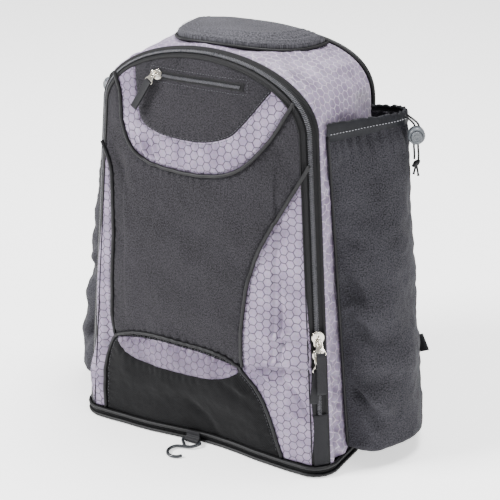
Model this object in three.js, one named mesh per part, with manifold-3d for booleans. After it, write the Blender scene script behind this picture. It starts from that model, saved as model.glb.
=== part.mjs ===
// Baseball bat backpack: a soft body with a zip round its front, two bat sleeves,
// a wire hook, a padded handle and shoulder straps.
// Millimetres, +Z up, the front faces -Y, the origin is the middle of the flat base.

import * as THREE from 'three';
import { mergeVertices } from 'three/addons/utils/BufferGeometryUtils.js';
import Module from 'manifold-3d';

const wasm = await Module();
wasm.setup();

// Driving dimensions of the body
const halfWidthBase = 170;
const halfWidthShoulder = 141;
const shoulderHeight = 400;
const frontArchTop = 480;
const backArchTop = 474;
const backArchPower = 2.7;
const zipLineBase = -90;
const zipLineTop = -61;
const backSeamY = 60;
const clothWall = 2.5;
const seamGap = 0.3;
const frontCrown = 12;
const crownPower = 2.3;
const hookDent = 9;
const gussetCrown = 4;

// Base
const basePanelThickness = 3;
const baseBandTop = 14;
const baseFrontCorner = 27;
const baseBackCorner = 14;

// Back panel
const backPanelThickness = 12;

// Main zip
const zipBandWidth = 22;
const zipTurnSide = 45;
const zipTurnTop = 20;
const zipTapeThickness = 1.4;
const zipChainWidth = 6;
const zipChainHeight = 1.8;
const zipChainEnd = 85;
const zipCoverWidth = 18;
const zipCoverThickness = 1.2;

// Piping
const pipingRadius = 2;
const pipingSides = 6;
const pipingBevelShare = 0.6;

// Sliders, pulls and ribbons
const sliderLength = 17;
const sliderWidth = 14;
const sliderNeck = 8;
const sliderHeight = 3.4;
const sliderNose = 0.7;
const bailWire = 1;
const bailHeight = 4.6;
const bailReach = 3.6;
const pullLength = 17;
const pullTopWidth = 7.6;
const pullEndWidth = 13.6;
const pullThickness = 1.4;
const pullClearance = 0.5;
const ribbonLength = 46;
const lowerRibbonLength = 37;
const ribbonWidth = 10;
const ribbonLeaf = 1.1;
const mainSliderHeight = 171;
const sliderSpacing = 21;

// Front pocket zip
const pocketZipHalfLength = 59;
const pocketZipWidth = 8;
const pocketZipThickness = 1.8;
const pocketZipHeight = 450;
const pocketZipMiddle = 2;
const pocketScale = 0.78;

// Bat sleeves
const sleeveTop = 396;
const sleeveBottom = 26;
const sleeveWall = 2;
const sleeveSeamFront = -53;
const sleeveSeamBack = 56;
const sleeveReachTop = 50;
const sleeveReachBase = 64;
const hemHeight = 15;
const hemWall = 2;
const hemGather = 2;
const hemGathers = 9;
const hemDrawn = 2.5;
const hemFall = 9;

// Drawcord and its lock
const cordDiameter = 2.4;
const cordSpacing = 4.6;
const cordLockRadius = 9.8;
const cordLockLength = 15;
const plungerRadius = 6.4;
const plungerProud = 4;
const plungerDepth = 6;
const plungerClearance = 0.35;
const cordHoleClearance = 0.8;
const knotRadius = 4.2;
const knotTail = 14;

// Handle
const handleHalfLength = 90;
const handleMiddle = -1;
const handleFront = -50;
const handleBack = 54;
const handlePatchThickness = 5;
const handlePadThickness = 10.5;
const handlePower = 2.2;

// Hook
const hookWire = 2;
const hookEyeWidth = 24;
const hookEyeLength = 13;
const hookBendRadius = 11.5;
const hookLength = 41;
const hookMiddle = -8;
const hookTabWidth = 18;
const hookTabThickness = 1.5;
const hookClearance = 0.4;

// Shoulder straps
const strapWidthTop = 62;
const strapWidthEnd = 44;
const strapThickness = 13;
const strapTopHeight = 440;
const strapEndHeight = 178;
const strapTopX = 52;
const strapEndX = 104;
const strapStandoff = 34;
const webbingWidth = 22;
const webbingThickness = 1.6;
const lockWidth = 32;
const lockHeight = 30;
const lockThickness = 5;
const anchorHeight = 46;
const anchorX = 146;
const webbingSag = 10;
const tailReach = 209;
const tailHeight = 105;
const tailRise = 25;
const tailHang = 62;
const tailStandoff = 8;

const archRise = frontArchTop - shoulderHeight;
const shellBottom = baseBandTop + seamGap;

const material = {
  lavender: cloth(0xa59ca9, 0.7),
  black: cloth(0x3e3d41, 0.85),
  darkBlack: cloth(0x2b2a2d, 0.85),
  piping: cloth(0x1f1f21, 0.6),
  nylon: cloth(0x4d4c52, 0.45),
  tape: cloth(0x2a2a2d, 0.8),
  coil: cloth(0x1c1c1e, 0.45),
  webbing: cloth(0x38373b, 0.75),
  metal: new THREE.MeshStandardMaterial({ color: 0xc9c6bf, roughness: 0.25, metalness: 1 }),
  wire: new THREE.MeshStandardMaterial({ color: 0x26282b, roughness: 0.35, metalness: 0.6 }),
  plastic: new THREE.MeshStandardMaterial({ color: 0x75787c, roughness: 0.45, metalness: 0 }),
  buckle: new THREE.MeshStandardMaterial({ color: 0x1d1d1f, roughness: 0.5, metalness: 0 }),
};

const backpack = new THREE.Group();

function cloth(color, roughness) {
  return new THREE.MeshStandardMaterial({ color, roughness, metalness: 0 });
}

function add(name, geometry, finish, parent = backpack) {
  const mesh = new THREE.Mesh(geometry, finish.clone());
  mesh.name = name;
  parent.add(mesh);
  return mesh;
}

// Solids: closed bodies from grids, rings and outlines

function mix(a, b, share) {
  return a + (b - a) * share;
}

function signedVolume(positions, index) {
  let sum = 0;
  for (let i = 0; i < index.length; i += 3) {
    const [a, b, c] = [0, 1, 2].map((k) => new THREE.Vector3().fromArray(positions, 3 * index[i + k]));
    sum += a.dot(b.cross(c));
  }
  return sum;
}

function closedBody(positions, index) {
  const outward = signedVolume(positions, index) > 0;
  const faces = outward ? index : index.map((v, i) => index[i - (i % 3) + [0, 2, 1][i % 3]]);
  const geometry = new THREE.BufferGeometry();
  geometry.setAttribute('position', new THREE.Float32BufferAttribute(positions, 3));
  geometry.setIndex(faces);
  return geometry;
}

// A sheet with thickness: face(u, v, side) gives its outer (side 0) and inner (side 1) skin.
function sheet(across, up, face) {
  const positions = [];
  const index = [];
  const at = (i, j, side) => side * (across + 1) * (up + 1) + j * (across + 1) + i;
  for (const side of [0, 1]) {
    for (let j = 0; j <= up; j += 1) {
      for (let i = 0; i <= across; i += 1) {
        positions.push(...face(i / across, j / up, side).toArray());
      }
    }
  }
  const quad = (a, b, c, d) => index.push(a, b, c, a, c, d);
  for (let j = 0; j < up; j += 1) {
    for (let i = 0; i < across; i += 1) {
      quad(at(i, j, 0), at(i + 1, j, 0), at(i + 1, j + 1, 0), at(i, j + 1, 0));
      quad(at(i, j, 1), at(i, j + 1, 1), at(i + 1, j + 1, 1), at(i + 1, j, 1));
    }
  }
  for (let i = 0; i < across; i += 1) {
    quad(at(i, 0, 1), at(i + 1, 0, 1), at(i + 1, 0, 0), at(i, 0, 0));
    quad(at(i, up, 0), at(i + 1, up, 0), at(i + 1, up, 1), at(i, up, 1));
  }
  for (let j = 0; j < up; j += 1) {
    quad(at(0, j, 0), at(0, j + 1, 0), at(0, j + 1, 1), at(0, j, 1));
    quad(at(across, j, 1), at(across, j + 1, 1), at(across, j + 1, 0), at(across, j, 0));
  }
  return closedBody(positions, index);
}

// A solid through rings of points, closed by a fan at each end.
function loft(rings) {
  const size = rings[0].length;
  const positions = rings.flat().flatMap((point) => point.toArray());
  const index = [];
  for (let r = 0; r + 1 < rings.length; r += 1) {
    for (let k = 0; k < size; k += 1) {
      const next = (k + 1) % size;
      const [a, b, c, d] = [r * size + k, r * size + next, (r + 1) * size + next, (r + 1) * size + k];
      index.push(a, b, c, a, c, d);
    }
  }
  const last = (rings.length - 1) * size;
  for (let k = 1; k + 1 < size; k += 1) {
    index.push(0, k + 1, k, last, last + k, last + k + 1);
  }
  return closedBody(positions, index);
}

// A flat strip along stations of { middle, across, out }, with its own width and thickness.
function strip(stations, width, thickness) {
  return loft(stations.map(({ middle, across, out, wide = 1 }) => {
    const side = across.clone().multiplyScalar((width * wide) / 2);
    const lift = out.clone().multiplyScalar(thickness / 2);
    const corner = (a, b) => middle.clone().addScaledVector(side, a).addScaledVector(lift, b);
    return [corner(-1, -1), corner(1, -1), corner(1, 1), corner(-1, 1)];
  }));
}

function tube(points, radius, sides, steps) {
  const section = new THREE.Shape();
  for (let k = 0; k < sides; k += 1) {
    const turn = (2 * Math.PI * k) / sides;
    const [x, y] = [radius * Math.cos(turn), radius * Math.sin(turn)];
    if (k === 0) section.moveTo(x, y);
    else section.lineTo(x, y);
  }
  section.closePath();
  const path = new THREE.CatmullRomCurve3(points);
  return new THREE.ExtrudeGeometry(section, { steps, bevelEnabled: false, extrudePath: path });
}

function extrude(outline, depth, holes = []) {
  const shape = new THREE.Shape(outline.map(([x, y]) => new THREE.Vector2(x, y)));
  holes.forEach((hole) => {
    shape.holes.push(new THREE.Path(hole.map(([x, y]) => new THREE.Vector2(x, y))));
  });
  return new THREE.ExtrudeGeometry(shape, { depth, bevelEnabled: false });
}

function toManifold(geometry) {
  const bare = geometry.clone();
  ['normal', 'uv'].forEach((name) => bare.deleteAttribute(name));
  const merged = mergeVertices(bare, 1e-4);
  return new wasm.Manifold(new wasm.Mesh({
    numProp: 3,
    vertProperties: new Float32Array(merged.attributes.position.array),
    triVerts: new Uint32Array(merged.index.array),
  }));
}

function toGeometry(solid) {
  const { vertProperties, triVerts } = solid.getMesh();
  const geometry = new THREE.BufferGeometry();
  geometry.setAttribute('position', new THREE.Float32BufferAttribute(vertProperties, 3));
  geometry.setIndex(Array.from(triVerts));
  return geometry;
}

// The body's form

function halfWidth(z) {
  return mix(halfWidthBase, halfWidthShoulder, Math.min(z, shoulderHeight) / shoulderHeight);
}

function zipLineY(z) {
  return mix(zipLineBase, zipLineTop, z / frontArchTop);
}

const radians = THREE.MathUtils.degToRad;
const bandInsetSide = zipBandWidth * Math.sin(radians(zipTurnSide));
const bandInsetTop = zipBandWidth * Math.sin(radians(zipTurnTop));
const bandDepthSide = zipBandWidth * Math.cos(radians(zipTurnSide));
const bandDepthTop = zipBandWidth * Math.cos(radians(zipTurnTop));
const shoulderShare = 0.5;

// Once round the arch: s is -1 at the left foot, 0 at the top and 1 at the right foot.
function archEdge(s, insetSide, rise, power = 2) {
  const side = Math.sign(s) || 1;
  const far = Math.abs(s);
  if (far >= shoulderShare) {
    const z = mix(shoulderHeight, shellBottom, (far - shoulderShare) / (1 - shoulderShare));
    return [side * (halfWidth(z) - insetSide), z];
  }
  const turn = (Math.PI / 2) * (1 - far / shoulderShare);
  const x = (halfWidthShoulder - insetSide) * Math.cos(turn) ** (2 / power);
  return [side * x, shoulderHeight + rise * Math.sin(turn) ** (2 / power)];
}

function heightShare(z) {
  return THREE.MathUtils.clamp((z - shoulderHeight) / (archRise - bandInsetTop), 0, 1);
}

function outerZipPoint(s) {
  const [x, z] = archEdge(s, 0, archRise);
  return new THREE.Vector3(x, zipLineY(z), z);
}

function innerZipPoint(s) {
  const [x, z] = archEdge(s, bandInsetSide, archRise - bandInsetTop);
  return new THREE.Vector3(x, zipLineY(z) - mix(bandDepthSide, bandDepthTop, heightShare(z)), z);
}

// Crown of the front from the base up, as shares of the body's height and of the full crown
const crownTable = [
  { up: 0, crown: 0.08 },
  { up: 0.15, crown: 0.6 },
  { up: 0.35, crown: 0.92 },
  { up: 0.6, crown: 1 },
  { up: 0.85, crown: 0.85 },
  { up: 1, crown: 0.7 },
];

function fromTable(table, key, column, value) {
  const last = table.length - 1;
  if (value <= table[0][key]) return table[0][column];
  for (let i = 0; i < last; i += 1) {
    const [a, b] = [table[i], table[i + 1]];
    if (value <= b[key]) return mix(a[column], b[column], (value - a[key]) / (b[key] - a[key]));
  }
  return table[last][column];
}

// The dent that the hook's tab pulls into the lower edge of the front
const dentWidth = 0.36 * halfWidthBase;
const dentHeight = 0.1 * frontArchTop;
const dentMiddle = 0.1 * halfWidthBase;

function frontDent(x, z) {
  const away = (x - dentMiddle) / dentWidth;
  const above = (z - baseBandTop) / dentHeight;
  return hookDent * Math.exp(-away * away - Math.max(above, 0) ** 2);
}

function frontY(x, z) {
  const high = heightShare(z);
  const wide = Math.abs(x) / (halfWidth(z) - bandInsetSide);
  const toEdge = Math.min(Math.hypot(wide, high), 1);
  const crown = frontCrown * fromTable(crownTable, 'up', 'crown', z / frontArchTop);
  const rim = mix(bandDepthSide, bandDepthTop, high);
  return zipLineY(z) - rim - crown * (1 - toEdge ** crownPower) + frontDent(x, z);
}

function onFront(x, z, lift = 0) {
  return new THREE.Vector3(x, frontY(x, z) - lift, z);
}

// Front of the body: one shell, cut into its sewn panels

const shellColumns = 14;
const shellRows = 13;
const shellRise = archRise - bandInsetTop;

function frontShell() {
  return sheet(shellColumns, shellRows, (u, v, side) => {
    const across = Math.sin((Math.PI / 2) * (2 * u - 1));
    const top = shoulderHeight + shellRise * Math.sqrt(Math.max(0, 1 - across * across));
    const closer = mix(v, Math.sin((Math.PI / 2) * v), 0.6);
    const z = mix(shellBottom, top, closer);
    const x = across * (halfWidth(z) - bandInsetSide);
    return onFront(x, z, -side * clothWall);
  });
}

// Seams on the front, in shares of the shoulder half width (across) and of the height (up)
const seams = {
  bandOuter: [
    { across: -0.8, up: 0.925 }, { across: -0.745, up: 0.875 }, { across: -0.712, up: 0.8 },
    { across: -0.631, up: 0.752 }, { across: -0.475, up: 0.722 }, { across: -0.22, up: 0.714 },
    { across: 0.106, up: 0.716 }, { across: 0.312, up: 0.73 }, { across: 0.454, up: 0.756 },
    { across: 0.66, up: 0.826 }, { across: 0.84, up: 0.915 },
  ],
  bandInner: [
    { across: -0.6, up: 0.965 }, { across: -0.57, up: 0.89 }, { across: -0.504, up: 0.82 },
    { across: -0.376, up: 0.8 }, { across: -0.07, up: 0.791 }, { across: 0.135, up: 0.797 },
    { across: 0.305, up: 0.816 }, { across: 0.411, up: 0.846 }, { across: 0.7, up: 0.95 },
  ],
  right: [
    { across: 0.98, up: 0.775 }, { across: 0.787, up: 0.67 }, { across: 0.631, up: 0.585 },
    { across: 0.525, up: 0.508 }, { across: 0.468, up: 0.423 }, { across: 0.443, up: 0.34 },
    { across: 0.433, up: 0.25 },
  ],
  left: [
    { across: -0.95, up: 0.745 }, { across: -0.868, up: 0.69 }, { across: -0.84, up: 0.606 },
    { across: -0.852, up: 0.45 }, { across: -0.872, up: 0.29 }, { across: -0.855, up: 0.235 },
  ],
  pocket: [
    { across: -0.965, up: 0.03 }, { across: -0.943, up: 0.11 }, { across: -0.908, up: 0.21 },
    { across: -0.82, up: 0.246 }, { across: -0.51, up: 0.273 }, { across: -0.11, up: 0.275 },
    { across: 0.277, up: 0.265 }, { across: 0.468, up: 0.229 }, { across: 0.617, up: 0.177 },
    { across: 0.716, up: 0.1 }, { across: 0.802, up: 0.03 },
  ],
  lens: [
    { across: -0.83, up: 0.236 }, { across: -0.71, up: 0.25 }, { across: -0.4, up: 0.262 },
    { across: -0.1, up: 0.263 }, { across: 0.22, up: 0.255 }, { across: 0.4, up: 0.236 },
    { across: 0.25, up: 0.206 }, { across: -0.007, up: 0.196 }, { across: -0.355, up: 0.193 },
    { across: -0.645, up: 0.2 },
  ],
};

function seamCurve(name, steps, closed = false) {
  const points = seams[name].map(({ across, up }) => new THREE.Vector3(
    across * halfWidthShoulder,
    up * frontArchTop,
    0,
  ));
  const curve = new THREE.CatmullRomCurve3(points, closed);
  return curve.getSpacedPoints(steps).slice(0, closed ? -1 : undefined).map((p) => [p.x, p.y]);
}

// An outline moved outwards (or inwards, below zero) by the same distance all round
function moved(outline, distance) {
  const area = THREE.ShapeUtils.area(outline.map(([x, y]) => ({ x, y })));
  const way = Math.sign(area) * distance;
  return outline.map(([x, y], i) => {
    const [ax, ay] = outline.at(i - 1);
    const [bx, by] = outline[(i + 1) % outline.length];
    const before = new THREE.Vector2(y - ay, ax - x).normalize();
    const after = new THREE.Vector2(by - y, x - bx).normalize();
    const normal = before.add(after).normalize();
    const stretch = 1 / Math.max(0.5, normal.dot(after));
    return [x + normal.x * way * stretch, y + normal.y * way * stretch];
  });
}

const cutReach = 2 * halfWidthBase;
const cutHigh = 1.3 * frontArchTop;
const seamSteps = { bandOuter: 18, bandInner: 15, right: 9, left: 8, pocket: 22, lens: 22 };

function seamPoints(name) {
  return seamCurve(name, seamSteps[name], name === 'lens');
}

const regions = {
  topPocket: openAbove('bandInner'),
  band: openAbove('bandOuter'),
  pocket: closedBelow('pocket'),
  lens: seamPoints('lens'),
  right: [...seamPoints('right'), [seamPoints('right').at(-1)[0], -cutReach],
    [cutReach, -cutReach], [cutReach, shoulderHeight]],
  left: [...seamPoints('left'), [seamPoints('left').at(-1)[0], -cutReach],
    [-cutReach, -cutReach], [-cutReach, shoulderHeight]],
};

function openAbove(name) {
  const seam = seamPoints(name);
  return [...seam, [seam.at(-1)[0] * 1.2, cutHigh], [seam[0][0] * 1.2, cutHigh]];
}

function closedBelow(name) {
  const seam = seamPoints(name);
  return [...seam, [seam.at(-1)[0], -cutReach], [seam[0][0], -cutReach]];
}

function block(region, grow) {
  const prism = extrude(moved(regions[region], grow), cutReach);
  return toManifold(prism.rotateX(Math.PI / 2));
}

function cutPanel(keep, drop) {
  const shell = toManifold(frontShell());
  const kept = keep.reduce((solid, region) => solid.intersect(block(region, -seamGap)), shell);
  return toGeometry(drop.reduce((solid, region) => solid.subtract(block(region, seamGap)), kept));
}

function buildFront() {
  add('top_pocket_panel', cutPanel(['topPocket'], []), material.black);
  add('band_panel', cutPanel(['band'], ['topPocket']), material.lavender);
  add('centre_panel', cutPanel([], ['band', 'pocket', 'left', 'right']), material.black);
  add('side_panel_right', cutPanel(['right'], ['band', 'pocket']), material.lavender);
  add('side_panel_left', cutPanel(['left'], ['pocket']), material.lavender);
  add('lower_pocket_panel', cutPanel(['pocket'], ['lens']), material.darkBlack);
  add('lens_inset', cutPanel(['lens'], []), material.lavender);
}

// Piping laid on a seam, from one share of its length to another
const pipingPoints = 60;

function pipingOn(name, steps, from, to) {
  const points = seamCurve(name, pipingPoints);
  const first = Math.round(from * pipingPoints);
  const last = Math.round(to * pipingPoints);
  const route = points.slice(first, last + 1).map(([x, z]) => onFront(x, z, pipingRadius + seamGap));
  return tube(route, pipingRadius, pipingSides, steps);
}

function buildPiping() {
  add('piping_band', pipingOn('bandOuter', 20, 0.03, 0.95), material.piping);
  add('piping_right', pipingOn('right', 10, 0.1, 0.93), material.piping);
  add('piping_left', pipingOn('left', 8, 0.16, 0.93), material.piping);
  add('piping_pocket', pipingOn('pocket', 24, 0.03, 0.97), material.piping);
}

// Sides and top of the body
const gussetColumns = 30;
const gussetRows = 3;
const gussetCloser = 1.25;
const sideCrownShare = 0.4;
const topCrownShare = 0.5;

function gussetPoint(s, v, inset) {
  const [frontX, frontZ] = archEdge(s, inset, archRise - inset);
  const [backX, backZ] = archEdge(s, inset, backArchTop - shoulderHeight - inset, backArchPower);
  const front = new THREE.Vector3(frontX, zipLineY(frontZ), frontZ);
  const back = new THREE.Vector3(backX, backSeamY, backZ);
  const point = front.lerp(back, v);
  const side = Math.min(1, Math.abs(point.x) / halfWidthShoulder);
  const crown = gussetCrown * Math.sin(Math.PI * v);
  point.x += Math.sign(point.x) * crown * side * side * sideCrownShare;
  point.z += crown * (1 - side * side) * topCrownShare;
  return point;
}

function roundArch(u) {
  const s = 2 * u - 1;
  return Math.sign(s) * Math.abs(s) ** gussetCloser;
}

function buildGusset() {
  const skin = (u, v, side) => gussetPoint(roundArch(u), v, side * clothWall);
  const gusset = sheet(gussetColumns, gussetRows, skin);
  add('gusset', gusset, material.lavender);
  const rim = [];
  for (let i = 0; i <= gussetColumns; i += 1) {
    rim.push(archEdge(roundArch(i / gussetColumns), 0, backArchTop - shoulderHeight, backArchPower));
  }
  const panel = extrude(rim, backPanelThickness).rotateX(Math.PI / 2);
  add('back_panel', panel.translate(0, backSeamY + seamGap + backPanelThickness, 0), material.black);
}

// Base

const baseFront = zipLineBase - bandDepthSide - frontCrown * crownTable[0].crown;
const baseFrontSteps = 8;
const cornerSteps = 3;

function baseFrontAt(x) {
  return baseFront + frontDent(x, 0);
}

function baseOutline(inset) {
  const halfX = halfWidth(0) - inset;
  const front = baseFront + inset;
  const back = backSeamY + backPanelThickness - inset;
  const corners = [
    { x: 1, y: front, radius: baseFrontCorner - inset, from: -90, sign: 1 },
    { x: 1, y: back, radius: baseBackCorner - inset, from: 0, sign: -1 },
    { x: -1, y: back, radius: baseBackCorner - inset, from: 90, sign: -1 },
    { x: -1, y: front, radius: baseFrontCorner - inset, from: 180, sign: 1 },
  ];
  const outline = [];
  corners.forEach(({ x, y, radius, from, sign }) => {
    for (let k = 0; k <= cornerSteps; k += 1) {
      const turn = radians(from + (k * 90) / cornerSteps);
      const across = x * (halfX - radius) + radius * Math.cos(turn);
      outline.push([across, y + sign * radius + radius * Math.sin(turn)]);
    }
  });
  const left = outline.at(-1);
  const right = outline[0];
  for (let k = 1; k < baseFrontSteps; k += 1) {
    const x = mix(left[0], right[0], k / baseFrontSteps);
    outline.push([x, baseFrontAt(x) + inset]);
  }
  return outline;
}

// A round-edged ring of piping just outside the base's outline
function basePiping(low) {
  const bevel = pipingRadius * pipingBevelShare;
  const far = seamGap + 2 * pipingRadius;
  const shape = new THREE.Shape(baseOutline(-far).map(([x, y]) => new THREE.Vector2(x, y)));
  shape.holes.push(new THREE.Path(baseOutline(-seamGap).map(([x, y]) => new THREE.Vector2(x, y))));
  const rounding = { bevelThickness: bevel, bevelSize: bevel, bevelOffset: -bevel, bevelSegments: 1 };
  const ring = new THREE.ExtrudeGeometry(shape, { depth: 2 * (pipingRadius - bevel), ...rounding });
  return ring.translate(0, 0, low + bevel);
}

function buildBase() {
  add('base_panel', extrude(baseOutline(0), basePanelThickness), material.darkBlack);
  const bandFoot = basePanelThickness + seamGap;
  const wall = extrude(baseOutline(0), baseBandTop - bandFoot, [baseOutline(clothWall)]);
  add('base_band', wall.translate(0, 0, bandFoot), material.darkBlack);
  add('base_piping_lower', basePiping(1), material.piping);
  add('base_piping_upper', basePiping(baseBandTop - 2 * pipingRadius), material.piping);
}

// Main zip

// Across the zip band from its outer to its inner edge (w from 0 to 1), lifted off its face
function zipBand(s, w, lift) {
  const step = 0.004;
  const ahead = outerZipPoint(Math.min(s + step, 1));
  const along = ahead.sub(outerZipPoint(Math.max(s - step, -1))).normalize();
  const outer = outerZipPoint(s);
  const across = innerZipPoint(s).sub(outer);
  const out = new THREE.Vector3().crossVectors(across, along).normalize();
  return outer.addScaledVector(across, w).addScaledVector(out, lift);
}

const tapeMargin = 2;
const tapeMarginInner = clothWall + 3 * seamGap;
const zipRounds = 36;
const zipCoverFoot = 0.999;

function sOfHeight(z) {
  return mix(1, shoulderShare, (z - shellBottom) / (shoulderHeight - shellBottom));
}

// A strip along the zip, from one distance across its band to another
function zipStrip(from, to, columns, [near, far], low, high) {
  return sheet(columns, 1, (u, v, side) => {
    const s = mix(from, to, u);
    return zipBand(s, mix(near, far, v) / zipBandWidth, side ? low : high);
  });
}

function centred(width) {
  return [(zipBandWidth - width) / 2, (zipBandWidth + width) / 2];
}

function buildMainZip() {
  const tapeEdges = [tapeMargin, zipBandWidth - tapeMarginInner];
  const tape = zipStrip(-1, 1, zipRounds, tapeEdges, -zipTapeThickness, 0);
  add('main_zip_tape', tape, material.tape);
  const end = sOfHeight(zipChainEnd);
  const chain = zipStrip(-end, end, zipRounds, centred(zipChainWidth), seamGap, seamGap + zipChainHeight);
  add('main_zip_chain', chain, material.coil);
  const foot = sOfHeight(zipChainEnd - seamGap * 2);
  const coverTop = seamGap + zipCoverThickness;
  const cover = (from, to) => zipStrip(from, to, 3, centred(zipCoverWidth), seamGap, coverTop);
  add('zip_cover_right', cover(foot, zipCoverFoot), material.webbing);
  add('zip_cover_left', cover(-zipCoverFoot, -foot), material.webbing);
}

// Sliders: in their own frame, X across the zip, Y up it and Z out of its face

function sliderBody() {
  const [w, n, l] = [sliderWidth / 2, sliderNeck / 2, sliderLength / 2];
  const outline = [
    [-n, -l], [n, -l], [n + 1, -l * 0.5], [w, 0], [w, l * 0.55],
    [w * sliderNose, l], [-w * sliderNose, l], [-w, l * 0.55], [-w, 0], [-n - 1, -l * 0.5],
  ];
  const plate = toManifold(extrude(outline, sliderHeight));
  const top = sliderHeight;
  const route = [
    [bailReach, top - bailWire], [bailReach, top + bailHeight * 0.6],
    [bailReach * 0.6, top + bailHeight], [-bailReach * 0.6, top + bailHeight],
    [-bailReach, top + bailHeight * 0.6], [-bailReach, top - bailWire],
  ].map(([y, z]) => new THREE.Vector3(0, y, z));
  return plate.add(toManifold(tube(route, bailWire, 6, 8)));
}

function ring(halfX, halfY, middleY, corners) {
  const points = [];
  for (let k = 0; k < corners; k += 1) {
    const turn = (2 * Math.PI * (k + 0.5)) / corners;
    const square = 1 / Math.max(Math.abs(Math.cos(turn)), Math.abs(Math.sin(turn)));
    const grow = mix(1, square, 0.5);
    points.push([halfX * grow * Math.cos(turn), middleY + halfY * grow * Math.sin(turn)]);
  }
  return points;
}

// The pull hangs from its pivot at the origin, down along -Y.
const pullEyeHalf = bailWire + pullClearance;
const pullBar = 1.1;
const eyeWide = 1.8;
const eyeLong = 0.72;
const eyeDrop = 0.7;
const slotHalf = ribbonLeaf + pullClearance;

function pullPlate() {
  const top = pullBar;
  const [a, b] = [pullTopWidth / 2, pullEndWidth / 2];
  const outline = [
    [-a * 0.7, top], [-a, 0], [-a, -pullLength * 0.45], [-b, -pullLength * 0.8], [-b * 0.9, -pullLength],
    [b * 0.9, -pullLength], [b, -pullLength * 0.8], [a, -pullLength * 0.45], [a, 0], [a * 0.7, top],
  ];
  const eyeHalf = bailReach * eyeLong;
  const eye = ring(pullEyeHalf * eyeWide, eyeHalf, -eyeHalf - pullBar * eyeDrop, 8);
  const slotY = -pullLength + pullBar + slotHalf;
  const [sx, sy] = [ribbonWidth / 2 + pullClearance, slotHalf];
  const slot = [[-sx, slotY - sy], [sx, slotY - sy], [sx, slotY + sy], [-sx, slotY + sy]];
  return extrude(outline, pullThickness, [eye, slot]).translate(0, 0, -pullThickness / 2);
}

// A tape folded through the pull's slot, its two leaves hanging at an angle from the pull
function ribbonLoop(length, bend) {
  const barTop = -pullLength + pullBar;
  const room = pullThickness / 2 + seamGap;
  const turn = radians(bend);
  const down = (distance, off) => [
    -pullLength - distance * Math.cos(turn),
    off + distance * Math.sin(turn),
  ];
  const outer = [
    [barTop + seamGap + ribbonLeaf, 0.5], [barTop + seamGap + ribbonLeaf * 0.6, room + ribbonLeaf],
    down(0, room + ribbonLeaf), down(length, ribbonLeaf + seamGap),
    down(length, -ribbonLeaf - seamGap), down(0, -room - ribbonLeaf),
    [barTop + seamGap + ribbonLeaf * 0.6, -room - ribbonLeaf], [barTop + seamGap + ribbonLeaf, -0.5],
  ];
  const inner = [
    [barTop + seamGap, room], down(0.5, room), down(length * 0.5, seamGap),
    down(length * 0.5, -seamGap), down(0.5, -room), [barTop + seamGap, -room],
  ];
  const profile = extrude(outer, ribbonWidth, [inner]);
  profile.applyMatrix4(new THREE.Matrix4().makeBasis(
    new THREE.Vector3(0, 1, 0),
    new THREE.Vector3(0, 0, 1),
    new THREE.Vector3(1, 0, 0),
  ));
  return profile.translate(-ribbonWidth / 2, 0, 0);
}

const legToPivot = bailWire + pullClearance + pullBar;
const pivotZ = sliderHeight + pullThickness / 2 + pullClearance + 0.8;

// A slider with its pull and ribbon; lift swings the pull off the face, swing turns it in the face.
function addSlider(names, frame, { lift, swing, bend, length }) {
  add(names.slider, toGeometry(sliderBody()), material.metal, frame);
  const leg = new THREE.Group();
  leg.position.set(0, -bailReach, pivotZ);
  leg.rotation.z = radians(swing);
  frame.add(leg);
  const pivot = new THREE.Group();
  pivot.position.y = legToPivot;
  pivot.rotation.x = radians(-lift);
  leg.add(pivot);
  add(names.pull, pullPlate(), material.metal, pivot);
  add(names.ribbon, ribbonLoop(length, bend), material.webbing, pivot);
}

function zipFrame(height) {
  const s = sOfHeight(height);
  const middle = zipBand(s, 0.5, seamGap * 2 + zipChainHeight);
  const right = zipBand(s, 0, 0).sub(zipBand(s, 1, 0)).normalize();
  const up = zipBand(s - 0.01, 0.5, 0).sub(zipBand(s + 0.01, 0.5, 0)).normalize();
  const out = new THREE.Vector3().crossVectors(right, up).normalize();
  const frame = new THREE.Group();
  const upright = new THREE.Vector3().crossVectors(out, right);
  frame.applyMatrix4(new THREE.Matrix4().makeBasis(right, upright, out));
  frame.position.copy(middle);
  backpack.add(frame);
  return frame;
}

const upperLift = 22;
const lowerSwing = -9;

function buildMainSliders() {
  const names = (end) => ({
    slider: `main_slider_${end}`,
    pull: `main_pull_${end}`,
    ribbon: `main_ribbon_${end}`,
  });
  const upper = { lift: upperLift, swing: 0, bend: -upperLift, length: ribbonLength };
  addSlider(names('upper'), zipFrame(mainSliderHeight), upper);
  const lower = { lift: 0, swing: lowerSwing, bend: 0, length: lowerRibbonLength };
  addSlider(names('lower'), zipFrame(mainSliderHeight - sliderSpacing), lower);
}

// Front pocket zip and its slider
const pocketPullTurn = -30;

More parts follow.
